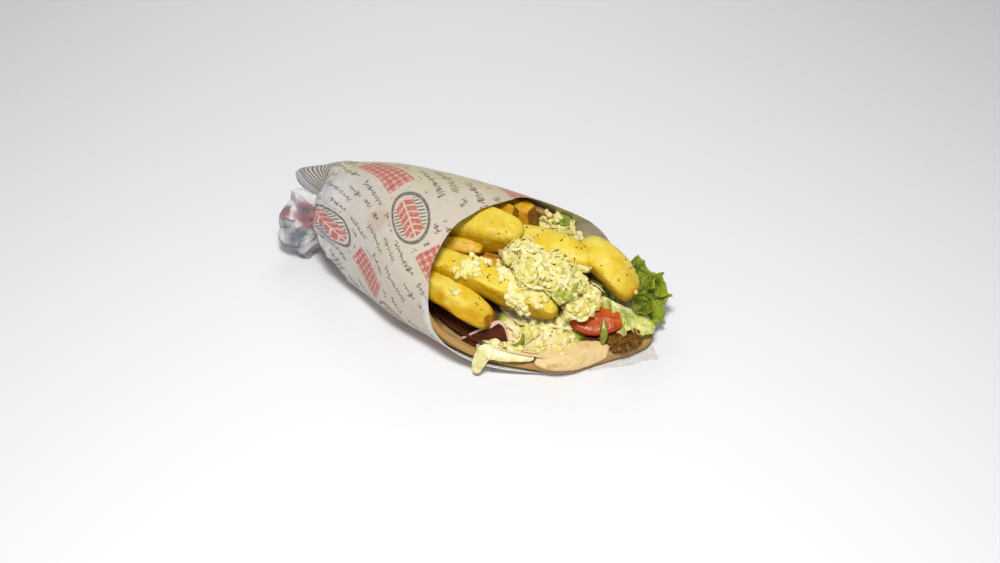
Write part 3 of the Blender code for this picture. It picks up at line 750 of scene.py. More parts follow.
# The two edges of the rolled bread, and those of its fold, as places along x and their turns
PITA_NEAR = (
    (-68, -90), (-55, -115), (-30, -126), (-10, -115), (1, -99), (8, -86), (16, -74), (24, -66),
    (34, -60), (48, -54), (64, -50), (80, -44), (92, -25), (104, -11), (112, 0),
)
PITA_FAR = (
    (-68, 100), (-55, 135), (-30, 158), (-10, 150), (4, 136), (20, 124), (40, 107), (60, 84),
    (76, 55), (92, 30), (104, 16), (112, 6),
)
FOLD_NEAR = ((66, -53), (72, -55), (80, -51), (88, -38), (96, -22))
FOLD_FAR = ((66, -34), (72, -24), (80, -18), (88, -14), (95, -16))
FOLD_INSET = PITA_INSET + 2.0
FOLD_THICK = 10.0
# Each one's mesh round and along, how rough it is, its seed and how deep it is pitted
PITA_SKIN = (240, 100, 0.1, 1.0, 0.25)
FOLD_SKIN = (120, 60, 0.2, 5.0, 0.35)
BREAD_BAKED = (0.58, 0.38, 0.145)
BREAD_PALE = (0.72, 0.52, 0.25)
BREAD_RIM = (0.38, 0.20, 0.05)
BREAD_FLECKED = (0.45, 0.20, 0.06)
GRIDDLE_BROWN = (0.40, 0.17, 0.03)
CREAM_DEEP = (0.78, 0.55, 0.24)
CREAM_PALE = (0.88, 0.68, 0.36)


def sphere_grid(around, rings):
    """The unit sphere as rings from one pole to the other, without the poles."""
    tilt = np.linspace(0, np.pi, rings + 2)[1:-1]
    lap = np.linspace(0, 2 * np.pi, around, endpoint=False)
    down, about = np.meshgrid(tilt, lap, indexing="ij")
    return np.sin(down) * np.cos(about), np.sin(down) * np.sin(about), np.cos(down)


def edge_share(u, v):
    """How far the points of a unit sphere lie from one edge of a slab to the other, 0 to 1."""
    chord = np.sqrt(np.maximum(1 - u * u, 1e-8))
    return (np.clip(v / chord, -1, 1) + 1) / 2


def laid_lens(near, far, inset, thickness, around, rings, rough, seed, pitted):
    """A flat rounded slab between two edges, bent to the wrapped form, and how near its rim is."""
    u, v, layer = sphere_grid(around, rings)
    first, last = near[0][0], near[-1][0]
    x = (first + last) / 2 + u * (last - first) / 2
    low, high = through(near, x), through(far, x)
    turn = low + (high - low) * edge_share(u, v)
    side = rounded(layer, 0.35)
    off_middle = np.hypot(u, v)
    swell = 1 + rough * bumps(np.stack([x, turn / 2, 10 * side], -1), 14, seed)
    spots = girth(x, turn, inset + thickness * swell * (1 + side) / 2)
    ragged = bumps(np.stack([x, turn, 0 * x], -1), 12, seed) * off_middle ** 6
    spots[..., 0] += 0.8 * rough * thickness * ragged
    spots += outward(spots) * (bumps(spots, 4.5, seed + 3) * pitted)[..., None]
    return lofted(spots), per_point(off_middle ** 14)


def flatbread():
    bread = Finish("flatbread", Specular_IOR_Level=0.3)
    rim, creamy = bread.wire.mark("rim"), bread.wire.mark("creamy")
    spread = bread.place.noise(70.0, 3.0, 0.6)
    fine = bread.place.noise(420.0, 4.0, 0.65)
    mealy = fine.within(0.35, 0.7) * 0.6
    cream = bread.flat(CREAM_DEEP).tinted(mealy, CREAM_PALE)
    griddled = (spread + fine * 0.25 - creamy * 0.10).within(0.62, 0.76)
    browned = (rim + (fine - 0.5) * 0.9).within(0.35, 0.95) * (1 - creamy)
    flecks = bread.place.noise(700.0, 2.0, 0.5).within(0.66, 0.72) * 0.6
    colour = bread.flat(BREAD_BAKED).layered(
        (mealy, BREAD_PALE),
        (creamy, cream),
        (griddled * 0.7, GRIDDLE_BROWN),
        (browned * 0.8, BREAD_RIM),
        (flecks * (1 - creamy * 0.7), BREAD_FLECKED),
    )
    pores = bread.place.noise(900.0, 4.0, 0.7)
    return bread.done(colour, 0.72 - griddled * 0.15, [(spread, 1.5), (fine, 0.6), (pores, 0.12)])


pita_body, pita_rim = laid_lens(PITA_NEAR, PITA_FAR, PITA_INSET, BREAD, *PITA_SKIN)
fold_body, fold_rim = laid_lens(FOLD_NEAR, FOLD_FAR, FOLD_INSET, FOLD_THICK, *FOLD_SKIN)
pita = piece("pita_bread", merged([pita_body, fold_body]), flatbread(), ["pita"],
             {"rim": np.append(pita_rim, fold_rim),
              "creamy": np.append(np.zeros_like(pita_rim), np.ones_like(fold_rim))})


# The potato wedges
# Thick wedges of potato, fried until their cut sides are bright yellow and their edges golden
# brown. Some have flat sides and some round ones, and each lies as it was dropped in.

# A wedge's sides in cross-section, each as its direction and how far out it lies
CUT = ((45, 0.80), (-38, 0.84), (130, 0.84), (-128, 0.84))
ROUND = ((85, 0.95), (35, 0.97), (-25, 0.86), (-80, 0.84), (-140, 0.92), (145, 0.95))
# Each wedge: start, end, width, depth, roll, sideways bow, lift, ridge, how brown it is, its
# sides, and where its far end is cut off square
WEDGES = {
    "big": ((-36, 1, 49), (31, 9, 50), 28, 25, -24, 0, 1, 0.2, 0.05,
            ((50, 0.84), (0, 0.97), (-42, 0.84), (130, 0.86), (-128, 0.86)), 1.08),
    "long": ((-42, -25, 39), (66, -17, 27), 21, 18, -20, 4, 6, 0.2, 0.2,
             ((52, 0.86), (-26, 0.86), (128, 0.92), (-120, 0.86)), 1.04),
    "mid": ((17, 16, 41), (73, 15, 42), 23, 20, -8, 2, 3, 0.2, 0.0, ROUND, 1.2),
    "end": ((58, 26, 44), (97, 18, 26), 23, 20, -14, 2, 5, 0.2, 0.0, ROUND, 1.2),
    "near": ((-34, -32, 37), (38, -38, 23), 19, 16, -34, 3, 3, 0.15, 0.32,
             ((62, 0.84), (-16, 0.86), (140, 0.92), (-105, 0.88)), 0.96),
    "back": ((-16, 22, 38), (30, 32, 45), 14, 25, -8, 0, 0, 0.1, 0.7,
             ((12, 0.9), (84, 0.9), (185, 0.9), (-85, 0.9)), 0.85),
    "rear": ((-24, 15, 48), (20, 24, 53), 10, 12, 0, 0, 1, 0.2, 0.6, CUT, 0.95),
    "small": ((-36, -17, 43), (13, -3, 43), 13, 11, 5, 1, 1, 0.2, 0.55, CUT, 1.0),
    # The wedge beneath the others is browned further, as painted shade where it lies under them
    "under": ((4, -2, 33), (42, 2, 32), 18, 12, 5, 0, 0, 0.2, 0.85, CUT, 0.95),
}
WEDGE_AROUND = 128
WEDGE_RINGS = 110
FRIED_YELLOW = (0.83, 0.66, 0.10)
FRIED_GOLD = (0.76, 0.55, 0.028)
FRIED_DEEP = (0.70, 0.43, 0.012)
TOASTED_GOLD = (0.64, 0.345, 0.004)
TOASTED_BROWN = (0.40, 0.14, 0.004)
TOASTED_DARK = (0.14, 0.055, 0.003)
UNDERSIDE_BROWN = (0.36, 0.25, 0.006)


def wedge_section(a, b, along, sides, seed):
    """How far out a wedge's surface lies in each direction (a, b), as its sides say."""
    total = 0.0
    for number, (facing, far) in enumerate(sides):
        line = np.stack([along, np.zeros_like(along), np.zeros_like(along)], -1)
        wander = 1 + 0.05 * bumps(line, 17, seed + 5.5 * number)
        facing = math.radians(facing + 6 * math.sin(3 * seed + number))
        ahead = a * math.cos(facing) + b * math.sin(facing)
        total = total + (np.maximum(ahead, 0) / (far * wander)) ** 8
    return total ** (-1 / 8)


def skyward(rings):
    """How far the surface through rings of points faces up at each, from 1 to -1 for down."""
    away = outward(rings)
    centre = rings.mean(axis=(0, 1))
    outside = np.sign(((rings - centre) * away).sum(axis=-1).mean())
    return away[..., 2] * outside


def wedge(seed, start, end, width, depth, roll, bow, lift, ridge, brown, sides, cut):
    """A wedge's body, how toasted each of its points is with painted shade added on its underside, and how
    far each point lies on its underside, for more painted shade there.
    """
    start, end = Vector(start), Vector(end)
    along = (end - start).normalized()
    side = along.cross(Vector((0, 0, 1))).normalized()
    side.rotate(Matrix.Rotation(math.radians(roll), 3, along))
    up = side.cross(along)
    reach = (end - start).length / 2
    middle, along, side, up = (np.array(way) for way in ((start + end) / 2, along, side, up))
    a, b, t = sphere_grid(WEDGE_AROUND, WEDGE_RINGS)
    ring, t = np.hypot(a, b), rounded(t, 0.7)
    a, b = a / ring, b / ring
    shape = wedge_section(a, b, t * reach, sides, seed)
    sharp = np.clip((shape - 0.93) * 9, 0, 1)
    shape = shape * ring ** (0.5 + 0.12 * (t > 0))
    a, b = a * shape, b * shape
    swell = 1 + 0.08 * bumps(np.stack([seed * 9 + t * reach, a * 9, b * 9], -1), 16, seed)
    across = a * width / 2 * (1 - ridge * b) * swell + bow * (1 - t * t)
    high = b * depth / 2 * swell + lift * (1 - t * t)
    lean = t + 0.10 * a + 0.06 * b
    length = (t - np.logaddexp(0, (lean - cut) / 0.02) * 0.02) * reach
    spots = middle + length[..., None] * along + across[..., None] * side + high[..., None] * up
    grain = bumps(spots, 5.0, seed) * 0.28 + bumps(spots, 2.2, seed) * 0.12
    spots += outward(spots) * grain[..., None]
    worn = np.clip(bumps(spots, 8, seed + 5) + 0.35, 0, 1)
    # Points that face down get painted shade: it deepens the toast mark and fills the under mark
    down = 0.55 - skyward(spots)
    toast = (sharp * (0.5 + 1.2 * brown) + np.abs(t) ** 8 * 0.3) * worn
    toast = toast + (lean > cut) * 0.35 + 0.6 * down + brown
    toast = np.clip(toast + 0.2 * bumps(spots, 9, seed + 2), 0, 1.3)
    return lofted(spots), per_point(toast, (brown, brown)), per_point(np.clip(down - 0.25, 0, 1))


def fried_potato():
    potato = Finish("fried_potato", Specular_IOR_Level=0.14, Coat_Weight=0.16, Coat_Roughness=0.28)
    # The toast mark is real browning, with painted shade added on the undersides
    toast = potato.wire.mark("toast")
    cloud = potato.place.noise(120.0, 4.0, 0.6)
    broad = potato.place.noise(45.0, 2.0, 0.5)
    fine = potato.place.noise(900.0, 3.0, 0.6)
    grainy = toast + (fine - 0.5) * 0.4
    colour = potato.flat(FRIED_YELLOW).layered(
        (cloud.within(0.38, 0.66), FRIED_GOLD),
        (broad.within(0.50, 0.66) * 0.5, FRIED_DEEP),
        ((toast + (cloud - 0.5) * 0.6).within(0.12, 0.58), TOASTED_GOLD),
        ((grainy + (cloud - 0.5) * 0.4).within(0.60, 1.0) * 0.85, TOASTED_BROWN),
        (grainy.within(1.0, 1.3) * 0.8, TOASTED_DARK),
        # Painted shade on the undersides of the wedges
        (potato.wire.mark("under") * 0.8, UNDERSIDE_BROWN),
    )
    streaks = potato.place.noise(300.0, 4.0, 0.65, 0.8)
    return potato.done(colour, 0.34 + fine * 0.25, [(streaks, 1.15), (fine, 0.20)])


potato_finish = fried_potato()
wedges = {}
for seed, (name, spec) in enumerate(WEDGES.items()):
    wedge_body, toast, under = wedge(seed, *spec)
    wedges[name] = wedge_body
    piece("fried_wedge_" + name, wedge_body, potato_finish,
          ["potato_wedge_" + name], {"toast": toast, "under": under})


# The tomato, the pickle and the patty
# A wet slice of ripe tomato and a slice of dark pickle stand in the open end, on the edge of
# a coarse patty of fried vegetables that has browned and crumbled.

# Each slice: centre, size, lean about its own x, spin about z, seed
TOMATO = ((84, -3, 18.5), (32, 17, 5.5), 28, 32, 1.0)
PICKLE = ((75, 14, 29), (12, 11, 4), -15, 20, 2.0)
PATTY = ((98, -1, 9.5), (22, 17, 6), 4, 35, 3.0)
PATTY_ROUGH = 1.3
# Each flesh: its pale and its deep shade, and its skin
TOMATO_SHADES = ((0.56, 0.11, 0.008), (0.38, 0.040, 0.005), (0.24, 0.02, 0.005))
PICKLE_SHADES = ((0.22, 0.20, 0.02), (0.12, 0.11, 0.008), (0.03, 0.04, 0.006))
CRUST_BROWN = (0.11, 0.042, 0.003)
CRUST_GOLD = (0.27, 0.115, 0.007)
CRUST_CRUMB = (0.46, 0.27, 0.045)
CRUST_BURNT = (0.06, 0.025, 0.006)


def food_slice(centre, size, lean, spin, seed, rough=0.0):
    """A round slice with a soft rim, and how near each point is to its rim."""
    turned = Matrix.Rotation(math.radians(spin), 3, "Z") @ Matrix.Rotation(math.radians(lean), 3, "X")
    a, b, layer = sphere_grid(90, 60)
    ring = np.hypot(a, b)
    out = ring ** 0.35
    swell = 1 + 0.1 * bumps(np.stack([a * 9, b * 9, layer * 4], -1), 8, seed)
    spots = np.stack([a / ring * out, b / ring * out, layer], -1) * np.array(size) / 2
    spots = (spots * swell[..., None]) @ np.array(turned).T + np.array(centre)
    grain = bumps(spots, 3.0, seed) * 0.6 + bumps(spots, 1.3, seed + 4) * 0.4
    spots += outward(spots) * (grain * rough)[..., None]
    return lofted(spots), per_point(out)


def wet_flesh(name, pale, deep, skin, relief):
    """A wet slice: flesh in two shades, with a darker skin round its rim."""
    flesh = Finish(name, Specular_IOR_Level=0.25, Coat_Weight=0.08, Coat_Roughness=0.12)
    cloud = flesh.place.noise(190.0, 4.0, 0.6, 0.5)
    rim = flesh.wire.mark("rim").within(0.93, 0.99)
    colour = flesh.flat(pale).layered((cloud.within(0.35, 0.65), deep), (rim, skin))
    fine = flesh.place.noise(700.0, 3.0, 0.6)
    return flesh.done(colour, 0.14 + fine * 0.15, [(cloud, relief * 3), (fine, relief)])


def patty_crust():
    crust = Finish("patty_crust", Specular_IOR_Level=0.25)
    coarse = crust.place.noise(260.0, 4.0, 0.7)
    fine = crust.place.noise(900.0, 4.0, 0.7)
    colour = crust.flat(CRUST_BROWN).layered(
        (coarse.within(0.40, 0.56), CRUST_GOLD),
        (coarse.within(0.62, 0.72), CRUST_CRUMB),
        (fine.within(0.52, 0.62) * 0.85, CRUST_BURNT),
    )
    return crust.done(colour, 0.45 + fine * 0.3, [(coarse, 1.2), (fine, 0.5)])


for name, spec, finish, slot, node in (
    ("tomato_wet_slice", TOMATO, wet_flesh("tomato_flesh", *TOMATO_SHADES, 0.14), "tomato", "tomato_slice"),
    ("pickle_round", PICKLE, wet_flesh("pickle_flesh", *PICKLE_SHADES, 0.25), "pickle", "pickle_slice"),
):
    slice_body, rim = food_slice(*spec)
    piece(name, slice_body, finish, [node], {"rim": rim})
patty_finish = patty_crust()
patty = piece("patty_crumbling", food_slice(*PATTY, PATTY_ROUGH)[0], patty_finish,
              ["vegetable_patty"])


# The onion, the green pepper and the wide shred of cabbage
# A curl of red onion, dark outside with a pale cut edge, leans on the near lip. Thin strips of
# green pepper and one wide, limp shred of white cabbage lie beside it.

# The onion's curl lies between two lines
ONION_ROOT = ((22, -47.5, 11), (35, -48, 9), (50, -41, 9))
ONION_RIM = ((23, -46.5, 14), (40, -34, 24), (50, -40, 12.5))
ONION_THICK = 2.2
# Each strip: its path, width and thickness, how wide its ends stay, how softly it narrows, the
# way its flat side faces, how far it waves, and its mesh's rings
INNER_ONION = (((33, -48, 11), (38, -46.5, 13), (45, -44.5, 12)), 8, 1.8, 0.5, 0.5, (0, -1, 1), 0.3)
PEPPER_NEAR = (((43, -46, 13), (50, -44.5, 15.5), (55, -38, 16.5), (53.5, -32, 18)), 3.2, 2.4, 0.2)
PEPPER_FRONT = (((89.5, -5, 24), (92.3, -10.2, 18), (92.4, -12.2, 10)), 4.4, 2.2, 0.12, 0.8)
WIDE_SHRED = (
    ((38.2, -58.3, 3), (38.5, -55, 9.5), (41, -50.5, 14), (51, -47, 13.5), (65, -41, 12.5)),
    9, 1.1, 0.15, 0.5, (0.3, -0.5, 0.8), 2.6, 110,
)
ONION_RED = (0.10, 0.018, 0.003)
ONION_DARK = (0.045, 0.010, 0.002)
ONION_EDGE = (0.66, 0.46, 0.38)
# The pale and the deep shade of each, and the skin along the pepper's sides
PALE_ONION = ((0.72, 0.60, 0.40), (0.60, 0.48, 0.32))
PEPPER_GREEN = ((0.28, 0.29, 0.012), (0.14, 0.18, 0.006))
PEPPER_SKIN = (0.06, 0.09, 0.004)
CABBAGE_WHITE = ((0.82, 0.73, 0.38), (0.68, 0.63, 0.24))


def path_points(points, count):
    """A smooth curve through points, at count even steps of their order."""
    order = np.arange(len(points))
    steps = np.linspace(0, len(points) - 1, count)
    axes = [through(np.stack([order, column], -1), steps) for column in np.array(points, float).T]
    return np.stack(axes, -1)


def strip(points, width, thick, tip, taper=0.5, flat=(0, 0, 1), ripple=0.0, count=60, around=20, seed=1.0):
    """A strip with a soft flat section along a smooth path, and how near its sides are."""
    path = path_points(points, count)
    along = np.gradient(path, axis=0)
    along /= np.linalg.norm(along, axis=1, keepdims=True)
    side = np.cross(along, flat)
    side /= np.linalg.norm(side, axis=1, keepdims=True)
    up = np.cross(side, along)
    share = np.linspace(0, 1, count)[:, None]
    narrow = tip + (1 - tip) * np.maximum(np.sin(np.pi * share), 0) ** taper
    angle = 2 * np.pi * (np.arange(around) + 0.5) / around
    across, high = rounded(np.cos(angle), 0.7), rounded(np.sin(angle), 0.7)
    wave = ripple * (bumps(path, 5.0, seed) + 0.5 * bumps(path, 1.8, seed + 2))
    wide = across * narrow * width / 2
    lift = high * np.maximum(narrow, 0.6) * thick / 2 + wave[:, None] * across ** 2
    spots = path[:, None] + side[:, None] * wide[..., None] + up[:, None] * lift[..., None]
    return lofted(spots), per_point(np.tile(np.abs(across), count), (1.0, 1.0))


def sheet_between(root, rim, thick, across, out, wave=None):
    """A thin sheet between two lines, raised by wave(places, share out, share across), and
    how far out each of its points lies."""
    root, rim = path_points(root, across), path_points(rim, across)
    u, v = np.meshgrid(np.linspace(0, 1, across), np.linspace(0, 1, out), indexing="ij")
    grid = root[:, None] * (1 - v)[..., None] + rim[:, None] * v[..., None]
    if wave:
        grid = grid + wave(grid, v, u)
    normal = np.cross(np.gradient(grid, axis=0), np.gradient(grid, axis=1))
    normal /= np.maximum(np.linalg.norm(normal, axis=-1, keepdims=True), 1e-9)
    share = np.minimum(1, np.minimum(v, 1 - v) * 12 + 0.35)
    half = normal * (thick / 2 * share)[..., None]
    rings = np.concatenate([grid + half, (grid - half)[:, ::-1]], axis=1)
    return lofted(rings), per_point(np.concatenate([v, v[:, ::-1]], axis=1), (0.5, 0.5))


def striped_shred(name, pale, deep, skin=None):
    """The flesh of a shred or strip, streaked along in two shades, a little wet."""
    shred = Finish(name, Specular_IOR_Level=0.5, Coat_Weight=0.15)
    cloud = shred.place.noise(240.0, 3.0, 0.6, 0.6)
    colour = shred.flat(pale).tinted(cloud.within(0.35, 0.68), deep)
    if skin:
        colour = colour.tinted(shred.wire.mark("rim").within(0.75, 0.97), skin)
    fine = shred.place.noise(800.0, 3.0, 0.6)
    return shred.done(colour, 0.3 + fine * 0.15, [(cloud, 0.5), (fine, 0.12)])


def onion_skin():
    skin = Finish("onion_skin", Specular_IOR_Level=0.15, Coat_Weight=0.03)
    cloud = skin.place.noise(160.0, 3.0, 0.6)
    colour = skin.flat(ONION_RED).tinted(cloud.within(0.35, 0.65), ONION_DARK)
    edge = (skin.wire.mark("rim") + (cloud - 0.5) * 0.08).within(0.90, 0.95)
    return skin.done(colour.tinted(edge, ONION_EDGE), 0.25 + cloud * 0.2, [(cloud, 0.6)])


onion_body, onion_out = sheet_between(ONION_ROOT, ONION_RIM, ONION_THICK, 70, 40)
# Its pale edge is wider at the end towards the tail
onion_out = onion_out + 0.16 * ramp(-onion_body[0][:, 0], -40, 3)
piece("red_onion_curl", onion_body, onion_skin(), ["red_onion"], {"rim": onion_out})
pale_onion = striped_shred("pale_onion", *PALE_ONION)
pepper_flesh = striped_shred("pepper_flesh", *PEPPER_GREEN, PEPPER_SKIN)
white_cabbage = striped_shred("white_cabbage", *CABBAGE_WHITE)
for name, spec, finish, slot, node in (
    ("onion_pale_layer", INNER_ONION, pale_onion, "white_onion", "onion_inner"),
    ("green_pepper_near", PEPPER_NEAR, pepper_flesh, "green_pepper", "pepper_strip_near"),
    ("green_pepper_front", PEPPER_FRONT, pepper_flesh, "green_pepper", "pepper_strip_front"),
    ("cabbage_wide_shred", WIDE_SHRED, white_cabbage, "feta_and_cabbage", "cabbage_shred"),
):
    strip_body, rim = strip(*spec)
    piece(name, strip_body, finish, [node], {"rim": rim})


# The lettuce
# Two curly leaves reach out of the open end. The fresh green one is ruffled tightly along its
# rim, and the inner one is pale and limp with a white rib.

LEAF_THICK = 0.5
# Each leaf: the two lines it spans, its mesh across and out, and its wave's height, how many
# waves it has, its seed and how tight its frills are. Each of its rolled ends: centre, radius,
# the way it opens, width, how far it rolls and seed
GREEN_ROOT = ((72, 30, 26), (82, 30, 27), (91, 24, 22), (97, 16, 14), (97, 6, 12))
GREEN_RIM = ((74, 42, 28), (90, 46, 29), (109, 42, 19), (112, 26, 9), (106, 10, 9))
GREEN_MESH = (260, 60)
GREEN_WAVE = (2.8, 5.0, 1.0, 2.7)
GREEN_ROLLS = (
    ((100, 22, 19), 6, (0.38, -0.68, 0.63), 7, 5.6, 2.0),
    ((102, 33, 22), 6, (0.9, 0.1, 0.6), 6, 5.6, 5.0),
)
PALE_ROOT = ((72, 6, 27), (82, 10, 26), (92, 11, 23), (104, 22, 13))
PALE_RIM = ((76, -1, 27), (88, 6, 19), (101, -2, 17), (113, 18, 9))
PALE_MESH = (200, 44)
PALE_WAVE = (3.2, 4.0, 3.0, 2.4)
PALE_ROLLS = (((104, 13, 14), 6, (0.6, -0.6, 0.3), 7, 3.3, 4.0),)
ROLL_MESH = (120, 24)
# The deep and the bright shade of each leaf, and that of its veins
GREEN_SHADES = ((0.055, 0.10, 0.002), (0.29, 0.36, 0.010), (0.54, 0.56, 0.09))
PALE_SHADES = ((0.50, 0.57, 0.08), (0.78, 0.77, 0.22), (0.90, 0.86, 0.50))


def ruffles(height, waves, seed, tight):
    """The wave of a leaf's rim: broad waves with tighter frills towards the edge."""
    def wave(places, out, across):
        swing = 2 * np.pi * waves * across + seed + 1.5 * bumps(places, 16, seed + 1)
        frill = tight * swing + 2 * seed + 2.5 * bumps(places, 11, seed)
        along = 0.5 * np.cos(swing) * out ** 1.3 + 0.25 * np.cos(frill) * out ** 2.5
        sideways = 0.15 * np.cos(frill + 1.3) * out ** 2.5
        upwards = np.sin(swing) * out ** 0.9 + 0.5 * np.sin(frill) * out ** 2.2 + 0.5 * bumps(places, 6, seed)
        return np.stack([along, sideways, upwards], -1) * height
    return wave


def rolled_end(centre, radius, facing, width, rolls, seed):
    """A rolled end of a leaf that opens towards facing, and how far out each point lies."""
    facing = Vector(facing).normalized()
    side = facing.cross((0, 0, 1)).normalized()
    down = facing.cross(side)
    root, rim = [], []
    for angle in np.linspace(-0.2, rolls, 9):
        way = np.array(side * math.cos(angle) + down * math.sin(angle)) * radius
        root.append(np.array(centre) + way * 0.8)
        rim.append(np.array(centre) + way * (0.85 + 0.05 * angle) + np.array(facing) * width)
    return sheet_between(root, rim, LEAF_THICK, *ROLL_MESH, ruffles(0.8, 3.0, seed, 2.3))


def leaf_flesh(name, deep, bright, rib):
    """A leaf in two greens, with pale ribs and veins."""
    leaf = Finish(name, Specular_IOR_Level=0.25, Coat_Weight=0.06)
    out = leaf.wire.mark("rim")
    cloud = leaf.place.noise(90.0, 3.0, 0.6)
    veins = leaf.place.noise(230.0, 3.0, 0.6, 1.2)
    ridge = 1 - ((veins - 0.5).maths("ABSOLUTE") * 9.0).maths("MINIMUM", 1.0)
    colour = leaf.flat(deep).layered(
        ((cloud + (out - 0.5) * 0.3).within(0.35, 0.62), bright),
        (ridge.within(0.55, 1.0) * 0.55, rib),
        (out.within(0.30, 0.0) * 0.7, rib),
    )
    return leaf.done(colour, 0.30 + veins * 0.2, [(ridge, 0.35), (veins, 0.6)])


def leafed(name, root, rim, mesh, wave, rolls, finish, node):
    """One leaf with its rolled ends, as one piece."""
    sheets = [sheet_between(root, rim, LEAF_THICK, *mesh, ruffles(*wave))]
    sheets += [rolled_end(*roll) for roll in rolls]
    bodies, outs = zip(*sheets)
    piece(name, merged(bodies), finish, [node], {"rim": np.concatenate(outs)})


leafed("curly_lettuce", GREEN_ROOT, GREEN_RIM, GREEN_MESH, GREEN_WAVE, GREEN_ROLLS,
       leaf_flesh("lettuce_green", *GREEN_SHADES), "lettuce_leaf")
leafed("pale_lettuce_heart", PALE_ROOT, PALE_RIM, PALE_MESH, PALE_WAVE, PALE_ROLLS,
       leaf_flesh("lettuce_pale", *PALE_SHADES), "lettuce_leaf_pale")


# The bed of salad
# Shredded lettuce and cabbage fill the pita under everything else. A solid core carries loose
# shreds, scraps of leaf and crumbs of cheese wherever the bed shows.

# The bed's near and far edges and the height of its top, each at places along x
BED_NEAR = ((-60, -24), (0, -37), (16, -44), (40, -48), (60, -44), (80, -31), (100, -4))
BED_FAR = ((-60, 26), (0, 37), (40, 41), (56, 39), (70, 32), (84, 23), (100, 10))
BED_LEVEL = ((-60, 32), (0, 31), (40, 29), (60, 25), (80, 17), (100, 9))
# How its top rises towards the far side, nearer than the middle line and beyond it
BED_MIDLINE = 5.0
BED_SLOPES = (0.32, 0.36)
BED_MIDDLE = 25.0
BED_HALF = 73.0
BED_INSET = PITA_INSET + BREAD + GAP + 1.0
# From the darkest bits of onion through leaves and cabbage to cheese and pink sauce; the darkest also serves
# as painted shade in the gap by the near lip
SALAD_SHADES = (
    (0.10, 0.022, 0.006), (0.07, 0.11, 0.008), (0.24, 0.31, 0.020), (0.52, 0.53, 0.10),
    (0.76, 0.67, 0.24), (0.86, 0.77, 0.42), (0.86, 0.62, 0.34),
)


def floor_under(x, y, inset):
    """Heights of the inside of the wrapped form, moved inwards by inset, under places."""
    off = y - through(CENTRE, x)
    half = np.where(off < 0, through(NEAR_HALF, x), through(FAR_HALF, x)) - inset
    sine = np.minimum(np.abs(off) / half, 1.0) ** (1 / through(SQUARENESS, x))
    return girth(x, np.degrees(np.arcsin(sine)) * np.sign(off), inset)[..., 2]


def salad_core():
    """The core's body, and 1 at each of its points that lies on top."""
    u, v, layer = sphere_grid(150, 90)
    x = BED_MIDDLE + u * BED_HALF
    low, high = through(BED_NEAR, x), through(BED_FAR, x)
    y = low + (high - low) * edge_share(u, v)
    side = (1 + rounded(layer, 0.4)) / 2
    floor = floor_under(x, y, BED_INSET)
    beyond = y - BED_MIDLINE
    level = through(BED_LEVEL, x) + np.where(beyond > 0, BED_SLOPES[1], BED_SLOPES[0]) * beyond
    level = np.maximum(level + 1.5 * bumps(np.stack([x, y, 0 * x], -1), 9, 2.0), floor + 3)
    spots = np.stack([x, y, floor + (level - floor) * side], -1)
    rough = bumps(spots, 4.0, 3.0) * 0.7 + bumps(spots, 1.8, 6.0) * 0.35
    spots[..., 2] += rough * side
    return lofted(spots), per_point(side > 0.8, (1.0, 0.0))


def tinted_bits(name, shades, relief, coat=0.0):
    """A finish in several shades, one for each loose bit and blended on their core."""
    bits = Finish(name, Specular_IOR_Level=0.3, Coat_Weight=coat)
    cloud = bits.place.noise(330.0, 4.0, 0.65)
    fine = bits.place.noise(1100.0, 3.0, 0.6)
    tint = bits.wire.mark("tint") + (cloud - 0.5) * 0.35
    stops = list(zip(np.linspace(0.04, 0.96, len(shades)), shades))
    colour = tint.add("ValToRGB", {"stops": stops}, {0: tint})
    return bits.done(colour, 0.45 + fine * 0.2, [(cloud, relief * 2.5), (fine, relief)])


def salad_tints(spots):
    """Dark red-brown by the near lip as painted shade in the gap there, dark by the patty, creamy by the
    fold, and green and pale at the back.
    """
    x, y = spots[:, 0], spots[:, 1]
    creamy, nearer = ramp(x, 34, 10), ramp(-y, 12, 10)
    # By the near lip the core goes dark red-brown: painted shade in the gap between the lip and the wedges
    dark, creamy = (1 - creamy) * nearer, creamy * nearer
    crusty = ramp(x, 78, 4) * ramp(-y, -4, 6) * ramp(y, -18, 3)
    leafy = 0.42 + 0.35 * bumps(spots, 5.0, 9.0)
    salad = leafy * (1 - creamy) * (1 - dark) + 0.93 * creamy + 0.02 * dark
    return np.clip(salad * (1 - crusty) + 0.02 * crusty, 0, 1)


salad_finish = tinted_bits("shredded_salad", SALAD_SHADES, 0.2, coat=0.1)
bed_body, bed_top = salad_core()
bed_core = piece("salad_core", bed_body, salad_finish, ["salad_bed"],
                 {"tint": salad_tints(bed_body[0])})


# The heap of cheese
# Crumbled white cheese, with fine shreds of white cabbage, is piled over the ends of the
# wedges: a soft core first, and then the loose crumbs and shreds that cover it.

# Lumps of the heap's core: centre and radius
HEAP_LUMPS = (
    ((34, 2, 44), 8), ((45, -3, 43), 11), ((56, -5, 41), 11.5), ((47, -13, 45), 8.5),
    ((65, -3, 36), 9.5), ((75, -8, 27), 7.0), ((76, 1, 27), 6.5),
)
HEAP_FLAT = 0.7
HEAP_VOXEL = 0.9
# Olive to cream; the core's lower tints give painted shade between the crumbs
CHEESE_SHADES = ((0.38, 0.33, 0.030), (0.65, 0.55, 0.11), (0.80, 0.71, 0.24), (0.89, 0.82, 0.45))


